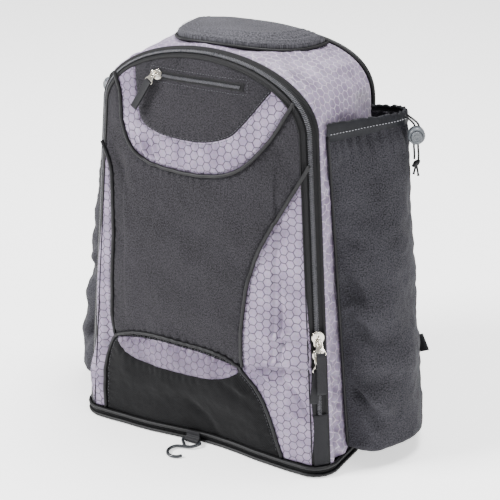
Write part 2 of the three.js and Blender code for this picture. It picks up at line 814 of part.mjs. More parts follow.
function buildPocketZip() {
  const half = pocketZipWidth / 2;
  const zip = sheet(12, 1, (u, v, side) => {
    const x = pocketZipMiddle + mix(-pocketZipHalfLength, pocketZipHalfLength, u);
    return onFront(x, pocketZipHeight + mix(-half, half, v), seamGap + (side ? 0 : pocketZipThickness));
  });
  add('pocket_zip', zip, material.tape);
  const x = pocketZipMiddle - pocketZipHalfLength + (sliderLength * pocketScale) / 2;
  const lift = pocketZipThickness + seamGap * 3;
  const middle = onFront(x, pocketZipHeight, lift);
  const right = onFront(x + 1, pocketZipHeight, lift).sub(middle).normalize();
  const up = onFront(x, pocketZipHeight + 1, lift).sub(middle).normalize();
  const out = new THREE.Vector3().crossVectors(right, up).normalize();
  const frame = new THREE.Group();
  const turned = new THREE.Matrix4().makeBasis(up.clone().negate(), right, out);
  frame.applyMatrix4(turned);
  frame.scale.setScalar(pocketScale);
  frame.position.copy(middle);
  backpack.add(frame);
  const names = { slider: 'pocket_slider', pull: 'pocket_pull', ribbon: 'pocket_ribbon' };
  addSlider(names, frame, { lift: 0, swing: 90 + pocketPullTurn, bend: 0, length: ribbonLength });
}

// Bat sleeves

// Sections from the mouth (up 1) to the foot (up 0): how far out the front corner, the side and
// the back corner stand, as shares of the reach, and where they sit, as shares of the depth.
const sleeveTable = [
  { up: 0, frontOut: 0.62, frontAt: 0.02, sideAt: 0.55, backOut: 0.66, backAt: 1.02 },
  { up: 0.3, frontOut: 0.6, frontAt: 0.06, sideAt: 0.58, backOut: 0.7, backAt: 1.03 },
  { up: 0.7, frontOut: 0.52, frontAt: 0.2, sideAt: 0.7, backOut: 0.74, backAt: 1.05 },
  { up: 1, frontOut: 0.46, frontAt: 0.37, sideAt: 0.86, backOut: 0.72, backAt: 1.07 },
];

// Where the sleeve is sewn to the side of the body
function sleeveWallX(z) {
  return halfWidth(z) + gussetCrown * sideCrownShare + seamGap;
}

function sleeveCurve(z) {
  const up = THREE.MathUtils.clamp((z - sleeveBottom) / (sleeveTop - sleeveBottom), 0, 1);
  const row = (column) => fromTable(sleeveTable, 'up', column, up);
  const reach = mix(sleeveReachBase, sleeveReachTop, up);
  const depth = sleeveSeamBack - sleeveSeamFront;
  const wall = sleeveWallX(z);
  const at = (out, along) => new THREE.Vector3(wall + reach * out, sleeveSeamFront + depth * along, 0);
  return new THREE.CatmullRomCurve3([
    at(0, 0),
    at(row('frontOut'), row('frontAt')),
    at(1, row('sideAt')),
    at(row('backOut'), row('backAt')),
    at(0, 1),
  ], false, 'centripetal');
}

// A point of the sleeve: u from the front seam round to the back seam, at a height, moved in or out
function sleevePoint(u, z, inset, hand) {
  const curve = sleeveCurve(z);
  const point = curve.getPointAt(u);
  const run = curve.getTangentAt(u);
  const x = point.x - run.y * inset;
  const y = point.y + run.x * inset;
  return new THREE.Vector3(hand * Math.max(x, sleeveWallX(z)), y, z);
}

// Dents in the sleeve: place round it and up it, depth in millimetres of the reach, size in shares
const sleeveDents = [
  { round: 0.2, up: 0.12, deep: 0.05, wide: 0.1, high: 0.05 },
  { round: 0.12, up: 0.52, deep: 0.06, wide: 0.08, high: 0.06 },
  { round: 0.55, up: 0.7, deep: 0.03, wide: 0.12, high: 0.1 },
  { round: 0.3, up: 0.36, deep: 0.04, wide: 0.1, high: 0.08 },
];

function sleeveDent(u, up) {
  return sleeveDents.reduce((sum, dent) => {
    const a = (u - dent.round) / dent.wide;
    const b = (up - dent.up) / dent.high;
    return sum + dent.deep * sleeveReachTop * Math.exp(-a * a - b * b);
  }, 0);
}

const sleeveColumns = 12;
const sleeveRows = 12;
const sleeveWallRows = 9;
const sleeveFootRound = 9;

function sleeveWallPoint(u, v, side, hand) {
  const rows = sleeveWallRows / sleeveRows;
  const skin = side * sleeveWall;
  if (v <= rows) {
    const z = mix(sleeveTop, sleeveBottom, v / rows);
    const up = (z - sleeveBottom) / (sleeveTop - sleeveBottom);
    const ends = Math.sin(Math.PI * u);
    return sleevePoint(u, z, skin + sleeveDent(u, up) * ends, hand);
  }
  const under = (v - rows) / (1 - rows);
  const rim = sleevePoint(u, sleeveBottom, skin, hand);
  const sag = sleeveFootRound * Math.sin(Math.PI * (0.35 + 0.4 * under));
  const z = sleeveBottom + (skin - sag) * Math.min(1, under * 3);
  const seam = mix(sleeveSeamFront + sleeveFootRound, sleeveSeamBack - sleeveFootRound, u);
  return new THREE.Vector3(mix(rim.x, hand * sleeveWallX(z), under), mix(rim.y, seam, under), z);
}

function hemPoint(u, v, side, hand) {
  const z = sleeveTop + seamGap + hemHeight * v;
  const ends = Math.sin(Math.PI * u);
  const wave = hemGather * Math.sin(2 * Math.PI * hemGathers * u) * v * ends;
  const drawn = hemDrawn * v * ends;
  const slope = mix(0, -hemFall, u);
  const point = sleevePoint(u, sleeveTop, side * hemWall + drawn + wave / 2, hand);
  point.z = z + slope * v;
  return point;
}

const hemColumns = 20;

function buildSleeve(hand, name) {
  const sleeve = sheet(sleeveColumns, sleeveRows, (u, v, side) => sleeveWallPoint(u, v, side, hand));
  add(`sleeve_${name}`, sleeve, material.black);
  const hem = sheet(hemColumns, 2, (u, v, side) => hemPoint(u, v, side, hand));
  add(`sleeve_hem_${name}`, hem, material.nylon);
}

// Drawcord: two strands leave the hem, pass the lock and end in one knot
const cordExitShare = 0.62;
const lockDrop = 21;
const knotDrop = 54;
const lockStandoff = cordLockRadius + cordLockLength * 0.25 + 1;

function buildDrawcord(hand, name) {
  const exit = hemPoint(cordExitShare, 0.55, 0, hand);
  const ahead = hemPoint(cordExitShare - 0.02, 0.55, 0, hand).sub(exit).normalize();
  const out = new THREE.Vector3(hand, 0, 0);
  const start = exit.clone().addScaledVector(out, cordDiameter / 2 + seamGap);
  const hanging = (distance, drop) => exit.clone().add(new THREE.Vector3(hand * distance, 0, -drop));
  const lockMiddle = hanging(lockStandoff, lockDrop);
  const knotMiddle = hanging(lockStandoff + 1, knotDrop);
  const facing = new THREE.Vector3(hand * 0.5, -0.87, 0).normalize();
  const side = new THREE.Vector3(0, 0, 1).cross(facing).normalize();

  const lock = toManifold(barrel(cordLockRadius, cordLockLength))
    .subtract(toManifold(well()))
    .subtract(toManifold(cordHole()));
  const frame = new THREE.Group();
  frame.applyMatrix4(new THREE.Matrix4().makeBasis(side, new THREE.Vector3(0, 0, 1), facing));
  frame.position.copy(lockMiddle);
  backpack.add(frame);
  add(`cord_lock_${name}`, toGeometry(lock), material.plastic, frame);
  add(`cord_plunger_${name}`, plungerBody(), material.plastic, frame);
  add(`cord_knot_${name}`, knotBody(knotMiddle, side), material.piping);

  const strands = { front: 1, rear: -1 };
  Object.entries(strands).forEach(([which, way]) => {
    const shift = side.clone().multiplyScalar((-way * cordSpacing * hand) / 2);
    const at = (point, drop) => point.clone().add(shift).add(new THREE.Vector3(0, 0, drop));
    const lean = ahead.clone().multiplyScalar(way * cordSpacing * 0.5);
    const route = [
      start.clone().add(lean),
      start.clone().add(lean).addScaledVector(out, 3).add(new THREE.Vector3(0, 0, -1.5)),
      at(lockMiddle, cordLockRadius + 2),
      at(lockMiddle, 0),
      at(lockMiddle, -cordLockRadius - 2),
      at(knotMiddle, knotRadius * 2.4),
      at(knotMiddle, knotRadius + seamGap * 2),
    ];
    add(`drawcord_${which}_${name}`, tube(route, cordDiameter / 2, 8, 9), material.piping);
  });
}

// The lock is a short barrel along its own Z, its button in a well at the front.
function barrel(radius, length) {
  const half = length / 2;
  const profile = [[0, -half], [radius * 0.75, -half], [radius, -half * 0.55], [radius, half * 0.6],
    [radius * 0.88, half], [0, half]];
  const points = profile.map(([r, z]) => new THREE.Vector2(r, z));
  return new THREE.LatheGeometry(points, 12).rotateX(Math.PI / 2);
}

function well() {
  const radius = plungerRadius + plungerClearance;
  const points = [[0, 0], [radius, 0], [radius, cordLockLength], [0, cordLockLength]];
  const shape = new THREE.LatheGeometry(points.map(([r, z]) => new THREE.Vector2(r, z)), 12);
  return shape.rotateX(Math.PI / 2).translate(0, 0, cordLockLength / 2 - plungerDepth);
}

function cordHole() {
  const half = cordSpacing / 2 + cordDiameter / 2 + cordHoleClearance;
  const deep = cordDiameter / 2 + cordHoleClearance;
  const hole = new THREE.BoxGeometry(2 * half, 4 * cordLockRadius, 2 * deep);
  return hole;
}

function plungerBody() {
  const start = cordLockLength / 2 - plungerDepth + plungerProud;
  const end = cordLockLength / 2 + plungerProud * 0.5;
  const edge = plungerRadius - 1;
  const points = [[0, start], [plungerRadius, start], [plungerRadius, end - 1], [edge, end], [0, end]]
    .map(([r, z]) => new THREE.Vector2(r, z));
  return new THREE.LatheGeometry(points, 12).rotateX(Math.PI / 2);
}

function knotBody(middle, side) {
  const ball = new THREE.SphereGeometry(knotRadius, 8, 6);
  ball.scale(1.15, 0.95, 1).translate(...middle.toArray());
  let solid = toManifold(ball);
  [1, -1].forEach((way) => {
    const end = new THREE.Vector3(0, 0, -knotTail - way).addScaledVector(side, way * cordSpacing * 0.6);
    const route = [0, 0.5, 1].map((share) => middle.clone().addScaledVector(end, share));
    solid = solid.add(toManifold(tube(route, cordDiameter / 2, 6, 2)));
  });
  return toGeometry(solid);
}

// Handle: a padded half-moon on a bound patch, on top of the body

function topSurface(x, y, lift) {
  const share = THREE.MathUtils.clamp((y - zipLineTop) / (backSeamY - zipLineTop), 0, 1);
  const wide = Math.min(1, Math.abs(x) / halfWidthShoulder);
  const front = shoulderHeight + archRise * Math.sqrt(1 - wide * wide);
  const back = shoulderHeight + (backArchTop - shoulderHeight)
    * (1 - wide ** backArchPower) ** (1 / backArchPower);
  const crown = gussetCrown * topCrownShare * Math.sin(Math.PI * share);
  return new THREE.Vector3(x, y, mix(front, back, share) + crown + lift);
}

const handleColumns = 10;
const handleRows = 4;
const handleTipShare = 0.985;
const handleRoundShare = 0.42;
const handleEdgePower = 6;
const handleBackDrop = 0.5;
const handlePadInset = 2;
const handlePadRound = 0.6;

function handleSheet(grow, low, high, round) {
  const half = handleHalfLength + grow;
  return sheet(handleColumns, handleRows, (u, v, side) => {
    const across = handleTipShare * Math.sin((Math.PI / 2) * (2 * u - 1));
    const front = handleBack + grow - (handleBack - handleFront + 2 * grow)
      * (1 - Math.abs(across) ** handlePower) ** (1 / handlePower);
    const y = mix(front, handleBack, v);
    const x = handleMiddle + across * half;
    const frontRound = 1 - Math.sin((Math.PI / 2) * Math.min(1, v / handleRoundShare));
    const edge = Math.max(Math.abs(across), frontRound);
    const back = v === 1 ? handleBackDrop : 0;
    return topSurface(x, y, side ? low : high - round * (edge ** handleEdgePower + back));
  });
}

function buildHandle() {
  const patchTop = seamGap * 2 + handlePatchThickness;
  add('handle_patch', handleSheet(0, seamGap * 2, patchTop, seamGap), material.darkBlack);
  const padFoot = patchTop + seamGap * 2;
  const padTop = padFoot + handlePadThickness;
  const pad = handleSheet(-handlePadInset, padFoot, padTop, handlePadThickness * handlePadRound);
  add('handle_pad', pad, material.black);
}

// Hook on its tab, laid forward on the floor

const hookPivotZ = 4.2;
const floorGap = 0.05;
const tabMeets = 80;
const hookOut = 2 * pipingRadius + seamGap * 2 + hookTabThickness + hookClearance + hookWire;

function hookBody() {
  const half = hookEyeWidth / 2;
  const bendY = -hookLength + hookBendRadius + hookWire;
  const bendX = -half * 0.35;
  const flat = (x, y) => new THREE.Vector3(x, y, 0);
  const route = [
    flat(-half * 0.25, -hookEyeLength), flat(-half, -hookWire), flat(-half * 0.8, 0), flat(0, 0),
    flat(half * 0.8, 0), flat(half, -hookWire * 1.4), flat(half * 0.45, -hookEyeLength * 0.95),
    flat(bendX, bendY + hookBendRadius * 1.02),
  ];
  for (let k = 1; k <= 7; k += 1) {
    const turn = radians(90 + k * 35);
    route.push(flat(bendX + hookBendRadius * Math.cos(turn), bendY + hookBendRadius * Math.sin(turn)));
  }
  return tube(route, hookWire, 6, 34);
}

function buildHook() {
  const tabEdges = [-1, 1].map((way) => baseFrontAt(hookMiddle + (way * hookTabWidth) / 2));
  const front = Math.min(...tabEdges);
  const pivot = new THREE.Group();
  pivot.position.set(hookMiddle, front - hookOut, hookPivotZ);
  pivot.rotation.x = Math.asin((hookPivotZ - hookWire - floorGap) / hookLength);
  backpack.add(pivot);
  add('fence_hook', hookBody(), material.wire, pivot);

  const inner = hookWire + hookClearance;
  const outer = inner + hookTabThickness;
  const arc = (radius, from, to, count) => Array.from({ length: count + 1 }, (_, k) => {
    const turn = radians(mix(from, to, k / count));
    return [radius * Math.cos(turn), radius * Math.sin(turn)];
  });
  const rise = baseBandTop + pipingRadius - hookPivotZ;
  const loopOuter = [
    ...arc(outer, tabMeets, 360, 8),
    [outer, rise], [outer - 2 * hookTabThickness, rise],
  ];
  const loopInner = arc(inner, 0, 330, 11);
  const tab = extrude(loopOuter, hookTabWidth, [loopInner]);
  tab.applyMatrix4(new THREE.Matrix4().makeBasis(
    new THREE.Vector3(0, 1, 0),
    new THREE.Vector3(0, 0, 1),
    new THREE.Vector3(1, 0, 0),
  ));
  tab.translate(hookMiddle - hookTabWidth / 2, front - hookOut, hookPivotZ);
  add('hook_tab', tab, material.webbing);
}

// Shoulder straps

const backFace = backSeamY + backPanelThickness + seamGap;

// The padded strap from its top seam to its end, in shares of its height and of its standoff
const strapTable = [
  { down: 0, off: 0 },
  { down: 0.08, off: 0.02 },
  { down: 0.2, off: 0.5 },
  { down: 0.4, off: 0.95 },
  { down: 0.6, off: 1 },
  { down: 0.85, off: 0.75 },
  { down: 1, off: 0.5 },
];

const strapBow = 12;
const strapSpread = 1.4;

function strapStation(down, hand) {
  const row = (column, share) => fromTable(strapTable, 'down', column, share);
  const place = (share) => {
    const bow = Math.sin(Math.PI * share) * strapBow;
    return new THREE.Vector3(
      hand * (mix(strapTopX, strapEndX, share ** strapSpread) + bow),
      backFace + seamGap + strapThickness / 2 + strapStandoff * row('off', share),
      mix(strapTopHeight, strapEndHeight, share),
    );
  };
  const step = 0.02;
  const run = place(Math.min(1, down + step)).sub(place(Math.max(0, down - step))).normalize();
  const across = new THREE.Vector3(1, 0, 0).addScaledVector(run, -run.x).normalize();
  const out = new THREE.Vector3().crossVectors(across, run).normalize();
  return { middle: place(down), across, out, run };
}

const strapSteps = 12;
const strapRound = 0.8;
const strapEndShare = 0.6;

function paddedStrap(hand) {
  const rings = [];
  for (let k = 0; k <= strapSteps; k += 1) {
    const down = k / strapSteps;
    const { middle, across, out } = strapStation(down, hand);
    const width = mix(strapWidthTop, strapWidthEnd, down) / 2;
    const thick = (strapThickness / 2) * (k === strapSteps ? strapEndShare : 1);
    const corner = strapRound;
    const section = [
      [-1, 0], [-corner, corner], [0, 1], [corner, corner],
      [1, 0], [corner, -corner], [0, -1], [-corner, -corner],
    ];
    rings.push(section.map(([a, b]) => middle.clone()
      .addScaledVector(across, a * width)
      .addScaledVector(out, b * thick)));
  }
  return loft(rings);
}

// The lock's two slots and its cut corners, in shares of its half sizes
const barShare = 0.78;
const barHalf = 2.6;
const barAt = 0.42;
const cornerShare = 0.8;

function ladderLock(frame) {
  const [w, h] = [lockWidth / 2, lockHeight / 2];
  const [sx, sy] = [w * barShare, barHalf];
  const bar = (y) => [[-sx, y - sy], [sx, y - sy], [sx, y + sy], [-sx, y + sy]];
  const [cw, ch] = [w * cornerShare, h * cornerShare];
  const outline = [[-w, -ch], [-cw, -h], [cw, -h], [w, -ch], [w, h], [-w, h]];
  const plate = extrude(outline, lockThickness, [bar(h * barAt), bar(-h * barAt)]);
  plate.translate(0, 0, -lockThickness / 2);
  plate.applyMatrix4(frame);
  return plate;
}

function buildStrap(hand, name) {
  add(`shoulder_strap_${name}`, paddedStrap(hand), material.black);
  const end = strapStation(1, hand);
  const lockMiddle = end.middle.clone().addScaledVector(end.run, lockHeight / 2 + seamGap * 2);
  const basis = new THREE.Matrix4()
    .makeBasis(end.across, end.run.clone().negate(), end.out.clone().negate())
    .setPosition(lockMiddle);
  add(`ladder_lock_${name}`, ladderLock(basis), material.buckle);

  const anchorY = backFace + webbingThickness / 2 + seamGap;
  const anchor = new THREE.Vector3(hand * anchorX, anchorY, anchorHeight);
  const under = lockMiddle.clone().addScaledVector(end.run, lockHeight / 2 + seamGap * 2);
  const drop = (under.z - anchor.z) / 2;
  const webbing = new THREE.CubicBezierCurve3(
    under,
    under.clone().addScaledVector(end.run, drop),
    anchor.clone().add(new THREE.Vector3(0, webbingSag, drop)),
    anchor,
  );
  const band = (curve) => strip(stationsOn(curve, 8), webbingWidth, webbingThickness);
  add(`strap_webbing_${name}`, band(webbing), material.webbing);

  const over = (lockThickness + webbingThickness) / 2 + seamGap;
  const start = lockMiddle.clone()
    .addScaledVector(end.run, lockHeight * 0.2)
    .addScaledVector(backwards, over);
  const tip = new THREE.Vector3(hand * tailReach, backFace + tailStandoff, tailHeight);
  const tipRun = new THREE.Vector3(hand * Math.cos(radians(tailRise)), 0, Math.sin(radians(tailRise)));
  const tail = new THREE.CubicBezierCurve3(
    start,
    start.clone().addScaledVector(end.run, tailHang).addScaledVector(backwards, over * 2),
    tip.clone().addScaledVector(tipRun, -tailHang * 1.3),
    tip,
  );
  add(`strap_tail_${name}`, band(tail), material.webbing);
}

const backwards = new THREE.Vector3(0, 1, 0);

// Stations along a webbing, its width square to its run and its face held towards the back
function stationsOn(curve, count) {
  return curve.getSpacedPoints(count).map((middle, k) => {
    const run = curve.getTangentAt(k / count);
    const across = new THREE.Vector3().crossVectors(run, backwards).normalize();
    return { middle, across, out: new THREE.Vector3().crossVectors(across, run).normalize() };
  });
}

buildBase();
buildGusset();
buildFront();
buildPiping();
buildMainZip();
buildMainSliders();
buildPocketZip();
buildHandle();
buildHook();
for (const [name, hand] of [['right', 1], ['left', -1]]) {
  buildSleeve(hand, name);
  buildDrawcord(hand, name);
  buildStrap(hand, name);
}

export default backpack;
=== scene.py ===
import math

import bmesh
import bpy
import numpy as np
from mathutils import Matrix, Vector, noise


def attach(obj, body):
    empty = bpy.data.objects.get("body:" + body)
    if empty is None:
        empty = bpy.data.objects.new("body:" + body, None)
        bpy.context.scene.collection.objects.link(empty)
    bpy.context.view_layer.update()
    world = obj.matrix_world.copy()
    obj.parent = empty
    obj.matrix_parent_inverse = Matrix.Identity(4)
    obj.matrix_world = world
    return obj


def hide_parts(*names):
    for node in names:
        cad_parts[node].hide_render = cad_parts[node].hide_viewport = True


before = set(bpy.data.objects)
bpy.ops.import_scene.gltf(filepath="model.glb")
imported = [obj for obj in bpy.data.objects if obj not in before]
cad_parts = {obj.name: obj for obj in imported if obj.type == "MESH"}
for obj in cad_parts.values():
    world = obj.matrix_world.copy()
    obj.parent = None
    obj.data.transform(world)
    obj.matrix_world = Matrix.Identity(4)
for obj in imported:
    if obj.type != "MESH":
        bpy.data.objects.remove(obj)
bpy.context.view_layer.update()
mm = 0.001
print("frame loaded")


# camera at the photograph's angle, lengths in millimetres
cameraFit = {"azimuth": 30.76, "elevation": 23.51, "roll": -1.04, "distance": 1800.5,
             "target": (12.83, 0.0, 216.67), "lens": 108.41}


def addCamera(fit):
    a, e, r = (math.radians(fit[k]) for k in ("azimuth", "elevation", "roll"))
    back = Vector((math.sin(a) * math.cos(e), -math.cos(a) * math.cos(e), math.sin(e)))
    right = Vector((math.cos(a), math.sin(a), 0))
    up = back.cross(right)
    across = right * math.cos(r) + up * math.sin(r)
    upright = up * math.cos(r) - right * math.sin(r)
    data = bpy.data.cameras.new("camera")
    data.lens = fit["lens"]
    data.sensor_width = 36
    data.clip_end = 20
    camera = bpy.data.objects.new("camera", data)
    bpy.context.scene.collection.objects.link(camera)
    turn = Matrix((across, upright, back)).transposed().to_4x4()
    place = (Vector(fit["target"]) + back * fit["distance"]) * mm
    camera.matrix_world = Matrix.Translation(place) @ turn
    bpy.context.scene.camera = camera


addCamera(cameraFit)


# numbers, curves and noise
def mix(a, b, t):
    return a + (b - a) * t


def bell(x):
    return np.exp(-np.square(x))


def smoothStep(a, b, x):
    t = np.clip((x - a) / (b - a), 0, 1)
    return t * t * (3 - 2 * t)


def unit(vectors):
    return vectors / np.maximum(np.linalg.norm(vectors, axis=-1, keepdims=True), 1e-9)


def cloudy(points, size, depth=2, shift=0.0):  # soft noise, from about -0.7 to 0.7
    points = np.asarray(points, float)
    flat = points.reshape(-1, points.shape[-1]) / size + shift
    if flat.shape[1] == 2:
        flat = np.column_stack([flat, np.zeros(len(flat))])
    values = [noise.fractal(p, 1.0, 2.0, depth) for p in flat]
    return np.array(values).reshape(points.shape[:-1])


def curveThrough(points, closed=False, fine=20):  # centripetal spline, as the CAD's curves
    points = [np.asarray(p, float) for p in points]
    count = len(points)

    def knot(i):
        if closed:
            return points[i % count]
        if i < 0:
            return 2 * points[0] - points[1]
        return 2 * points[-1] - points[-2] if i >= count else points[i]

    line = []
    for i in range(count if closed else count - 1):
        p = [knot(i + k) for k in (-1, 0, 1, 2)]
        a, b, c = [max(np.linalg.norm(q - o) ** 0.5, 1e-4) for o, q in zip(p, p[1:])]
        t1 = ((p[1] - p[0]) / a - (p[2] - p[0]) / (a + b) + (p[2] - p[1]) / b) * b
        t2 = ((p[2] - p[1]) / b - (p[3] - p[1]) / (b + c) + (p[3] - p[2]) / c) * b
        for t in np.arange(fine) / fine:
            line.append(p[1] + t1 * t + (3 * (p[2] - p[1]) - 2 * t1 - t2) * t ** 2
                        + (2 * (p[1] - p[2]) + t1 + t2) * t ** 3)
    if not closed:
        line.append(points[-1])
    return np.array(line)


def evenly(line, count, start=0.0, end=1.0):
    run = np.concatenate([[0], np.cumsum(np.linalg.norm(np.diff(line, axis=0), axis=1))])
    want = np.linspace(start, end, count) * run[-1]
    return np.stack([np.interp(want, run, line[:, k]) for k in range(line.shape[1])], axis=1)


def nearest(x, z, line):  # distance to a line in the plane, the place on it and how far along
    best = np.full(x.shape, 1e9)
    atX, atZ, along = (np.zeros(x.shape) for k in range(3))
    walked = 0.0
    for (ax, az), (bx, bz) in zip(line, line[1:]):
        dx, dz = bx - ax, bz - az
        span = max(dx * dx + dz * dz, 1e-9)
        t = np.clip(((x - ax) * dx + (z - az) * dz) / span, 0, 1)
        px, pz = ax + dx * t, az + dz * t
        d = np.hypot(x - px, z - pz)
        near = d < best
        best = np.where(near, d, best)
        atX, atZ = np.where(near, px, atX), np.where(near, pz, atZ)
        along = np.where(near, walked + t * math.sqrt(span), along)
        walked += math.sqrt(span)
    return best, atX, atZ, along


def isInside(x, z, outline):
    inside = np.zeros(x.shape, bool)
    for (ax, az), (bx, bz) in zip(outline, np.roll(outline, -1, axis=0)):
        if az == bz:
            continue
        crosses = (az > z) != (bz > z)
        inside ^= crosses & (x < (bx - ax) * (z - az) / (bz - az) + ax)
    return inside


# materials
def linear(hexCode):
    parts = [int(hexCode[i:i + 2], 16) / 255 for i in (1, 3, 5)]
    return tuple(c / 12.92 if c <= 0.04045 else ((c + 0.055) / 1.055) ** 2.4 for c in parts) + (1,)


def addNode(tree, kind, settings=None, links=None):
    node = tree.nodes.new("ShaderNode" + kind)
    for key, value in (settings or {}).items():
        if isinstance(key, str) and hasattr(node, key):
            setattr(node, key, value)
        else:
            node.inputs[key].default_value = value
    for key, source in (links or {}).items():
        tree.links.new(getattr(source, "outputs", [source])[0], node.inputs[key])
    return node


def newMaterial(name, settings):
    material = bpy.data.materials.new(name)
    material.use_nodes = True
    tree = material.node_tree
    shader = tree.nodes["Principled BSDF"]
    for key, value in settings.items():
        shader.inputs[key].default_value = value
    return material, tree, shader


def calc(tree, operation, a, b=0.0, clamp=False):
    settings = {"operation": operation, "use_clamp": clamp}
    links = {}
    for index, value in enumerate((a, b)):
        if isinstance(value, (int, float)):
            settings[index] = value
        else:
            links[index] = value
    return addNode(tree, "Math", settings, links)


def blendColours(tree, factor, a, b, how="MIX"):
    node = addNode(tree, "Mix", {"data_type": "RGBA", "blend_type": how})
    for index, value in ((0, factor), (6, a), (7, b)):
        if isinstance(value, (int, float, tuple)):
            node.inputs[index].default_value = value
        else:
            tree.links.new(getattr(value, "outputs", [value])[0], node.inputs[index])
    return node.outputs[2]


def lay(tree, shader, height, strength, distance):  # one more bump over those before it
    node = addNode(tree, "Bump", {"Strength": strength, "Distance": distance * mm},
                   {"Height": height})
    before = shader.inputs["Normal"].links
    if before:
        tree.links.new(before[0].from_socket, node.inputs["Normal"])
    tree.links.new(node.outputs[0], shader.inputs["Normal"])


def surfaceMillimetres(tree):  # the piece's own UV map holds millimetres along the cloth
    return addNode(tree, "UVMap", {"uv_map": "cloth"})


def objectMillimetres(tree):
    place = addNode(tree, "TexCoord")
    return addNode(tree, "VectorMath", {"operation": "SCALE", "Scale": 1000.0},
                   {0: place.outputs["Object"]})


def grain(tree, place, size, detail=2.0, stretch=(1, 1, 1)):
    scaled = addNode(tree, "Mapping", {"Scale": stretch}, {"Vector": place})
    return addNode(tree, "TexNoise", {"Scale": 1.0 / size, "Detail": detail}, {"Vector": scaled})


def weave(tree, place, pitch):  # over and under threads of a plain weave
    parts = addNode(tree, "SeparateXYZ", links={0: place})
    turn = math.pi / pitch
    waves = [calc(tree, "SINE", calc(tree, "MULTIPLY", parts.outputs[k], turn)) for k in (0, 1)]
    return calc(tree, "MULTIPLY", waves[0], waves[1])


def honeycomb(tree, place, edge):  # share of the way from a cell's middle to its rim
    tall = edge * math.sqrt(3)
    span = (3 * edge, tall, 1.0)
    half = tuple(v / 2 for v in span)
    cells = []
    for shift in ((0, 0, 0), half):
        moved = addNode(tree, "VectorMath", {"operation": "ADD", 1: (300 * edge + shift[0],
                        100 * tall + shift[1], 0)}, {0: place})
        wrapped = addNode(tree, "VectorMath", {"operation": "MODULO", 1: span}, {0: moved})
        centred = addNode(tree, "VectorMath", {"operation": "SUBTRACT", 1: half}, {0: wrapped})
        flat = addNode(tree, "VectorMath", {"operation": "MULTIPLY", 1: (1, 1, 0)}, {0: centred})
        mirrored = addNode(tree, "VectorMath", {"operation": "ABSOLUTE"}, {0: flat})
        slant = addNode(tree, "VectorMath", {"operation": "DOT_PRODUCT",
                        1: (math.sqrt(3) / 2, 0.5, 0)}, {0: mirrored})
        parts = addNode(tree, "SeparateXYZ", links={0: mirrored})
        cells.append(calc(tree, "MAXIMUM", slant.outputs["Value"], parts.outputs[1]))
    return calc(tree, "DIVIDE", calc(tree, "MINIMUM", cells[0], cells[1]), tall / 2)


# the pale line colour is painted sheen: outlines that look lighter where they are lit at a grazing angle on the
# top of the bag
honeycombLook = {"ground": "#8f8499", "groundShade": "#62566d", "line": "#33293b",
                 "paintedSheenLine": "#cfc6d4", "edge": 5.7, "lineShare": 0.15}
lensLook = {**honeycombLook, "ground": "#6f6478", "groundShade": "#4c4155"}


def wovenHoneycomb(name, look, paintedSheen, contrast=0.75):
    # polyester satin with the honeycomb woven in: soft sheen, outlines of a duller yarn; where the outline
    # colour is mixed towards the pale one, that is painted sheen on the outlines
    material, tree, shader = newMaterial(name, {
        "Roughness": 0.46, "Sheen Weight": 0.08, "Sheen Roughness": 0.4,
        "Specular IOR Level": 0.35})
    place = surfaceMillimetres(tree)
    rim = honeycomb(tree, place, look["edge"])
    line = addNode(tree, "MapRange", {"interpolation_type": "SMOOTHSTEP", 1: 1 - look["lineShare"],
                   2: 1 - look["lineShare"] * 0.3, 3: 0.0, 4: contrast}, {0: rim})
    cloud = addNode(tree, "MapRange", {1: 0.25, 2: 0.75}, {0: grain(tree, place, 34, 3.0)})
    ground = blendColours(tree, cloud, linear(look["groundShade"]), linear(look["ground"]))
    lineColourAndSheen = mix(np.array(linear(look["line"])), np.array(linear(look["paintedSheenLine"])), paintedSheen)
    broken = calc(tree, "MULTIPLY", line, grain(tree, place, 3.5, 3.0), True)
    patchy = calc(tree, "MULTIPLY", broken, 2.1, True)
    colour = blendColours(tree, patchy, ground, tuple(float(c) for c in lineColourAndSheen))
    thread = grain(tree, place, 0.9, 1.0, (1, 0.25, 1))  # satin floats, drawn twice as coarse
    speckled = blendColours(tree, 0.22, colour, thread.outputs["Color"], "OVERLAY")
    tree.links.new(speckled, shader.inputs["Base Color"])
    lay(tree, shader, thread, 0.3, 0.15)
    lay(tree, shader, line, 0.7, -0.3)
    lay(tree, shader, grain(tree, place, 11, 4.0), 0.6, 1.6)
    lay(tree, shader, grain(tree, place, 30, 3.0, (0.8, 1.3, 1)), 0.6, 4.0)
    return material


def oxfordCloth(name, dark, light, pitch=1.5, rough=0.82):
    # 600 denier polyester oxford: matt, melange threads; the weave is drawn twice as coarse
    material, tree, shader = newMaterial(name, {
        "Roughness": rough, "Sheen Weight": 0.02, "Sheen Roughness": 0.5,
        "Specular IOR Level": 0.16})
    place = surfaceMillimetres(tree)
    over = weave(tree, place, pitch)
    fleck = grain(tree, place, 1.7, 2.0)
    cloud = grain(tree, place, 60, 2.0)
    mingled = calc(tree, "ADD", calc(tree, "MULTIPLY", fleck, 2.6),
                   calc(tree, "MULTIPLY", cloud, 0.5))
    share = calc(tree, "SUBTRACT", mingled, 1.05, True)
    colour = blendColours(tree, share, linear(dark), linear(light))
    tree.links.new(colour, shader.inputs["Base Color"])
    lay(tree, shader, over, 0.7, 0.2)
    lay(tree, shader, grain(tree, place, 7, 3.0), 0.45, 0.9)
    lay(tree, shader, grain(tree, place, 34, 3.0), 0.5, 3.0)
    return material


def smoothBinding(name, dark, light, rough=0.55):
    # grosgrain and piping tape: fine ribs, a dull shine along the fold
    material, tree, shader = newMaterial(name, {
        "Roughness": rough, "Specular IOR Level": 0.3})
    place = objectMillimetres(tree)
    fleck = grain(tree, place, 1.1, 2.0)
    colour = blendColours(tree, fleck, linear(dark), linear(light))
    tree.links.new(colour, shader.inputs["Base Color"])
    lay(tree, shader, fleck, 0.4, 0.15)
    lay(tree, shader, grain(tree, place, 6, 2.0), 0.3, 0.4)
    return material


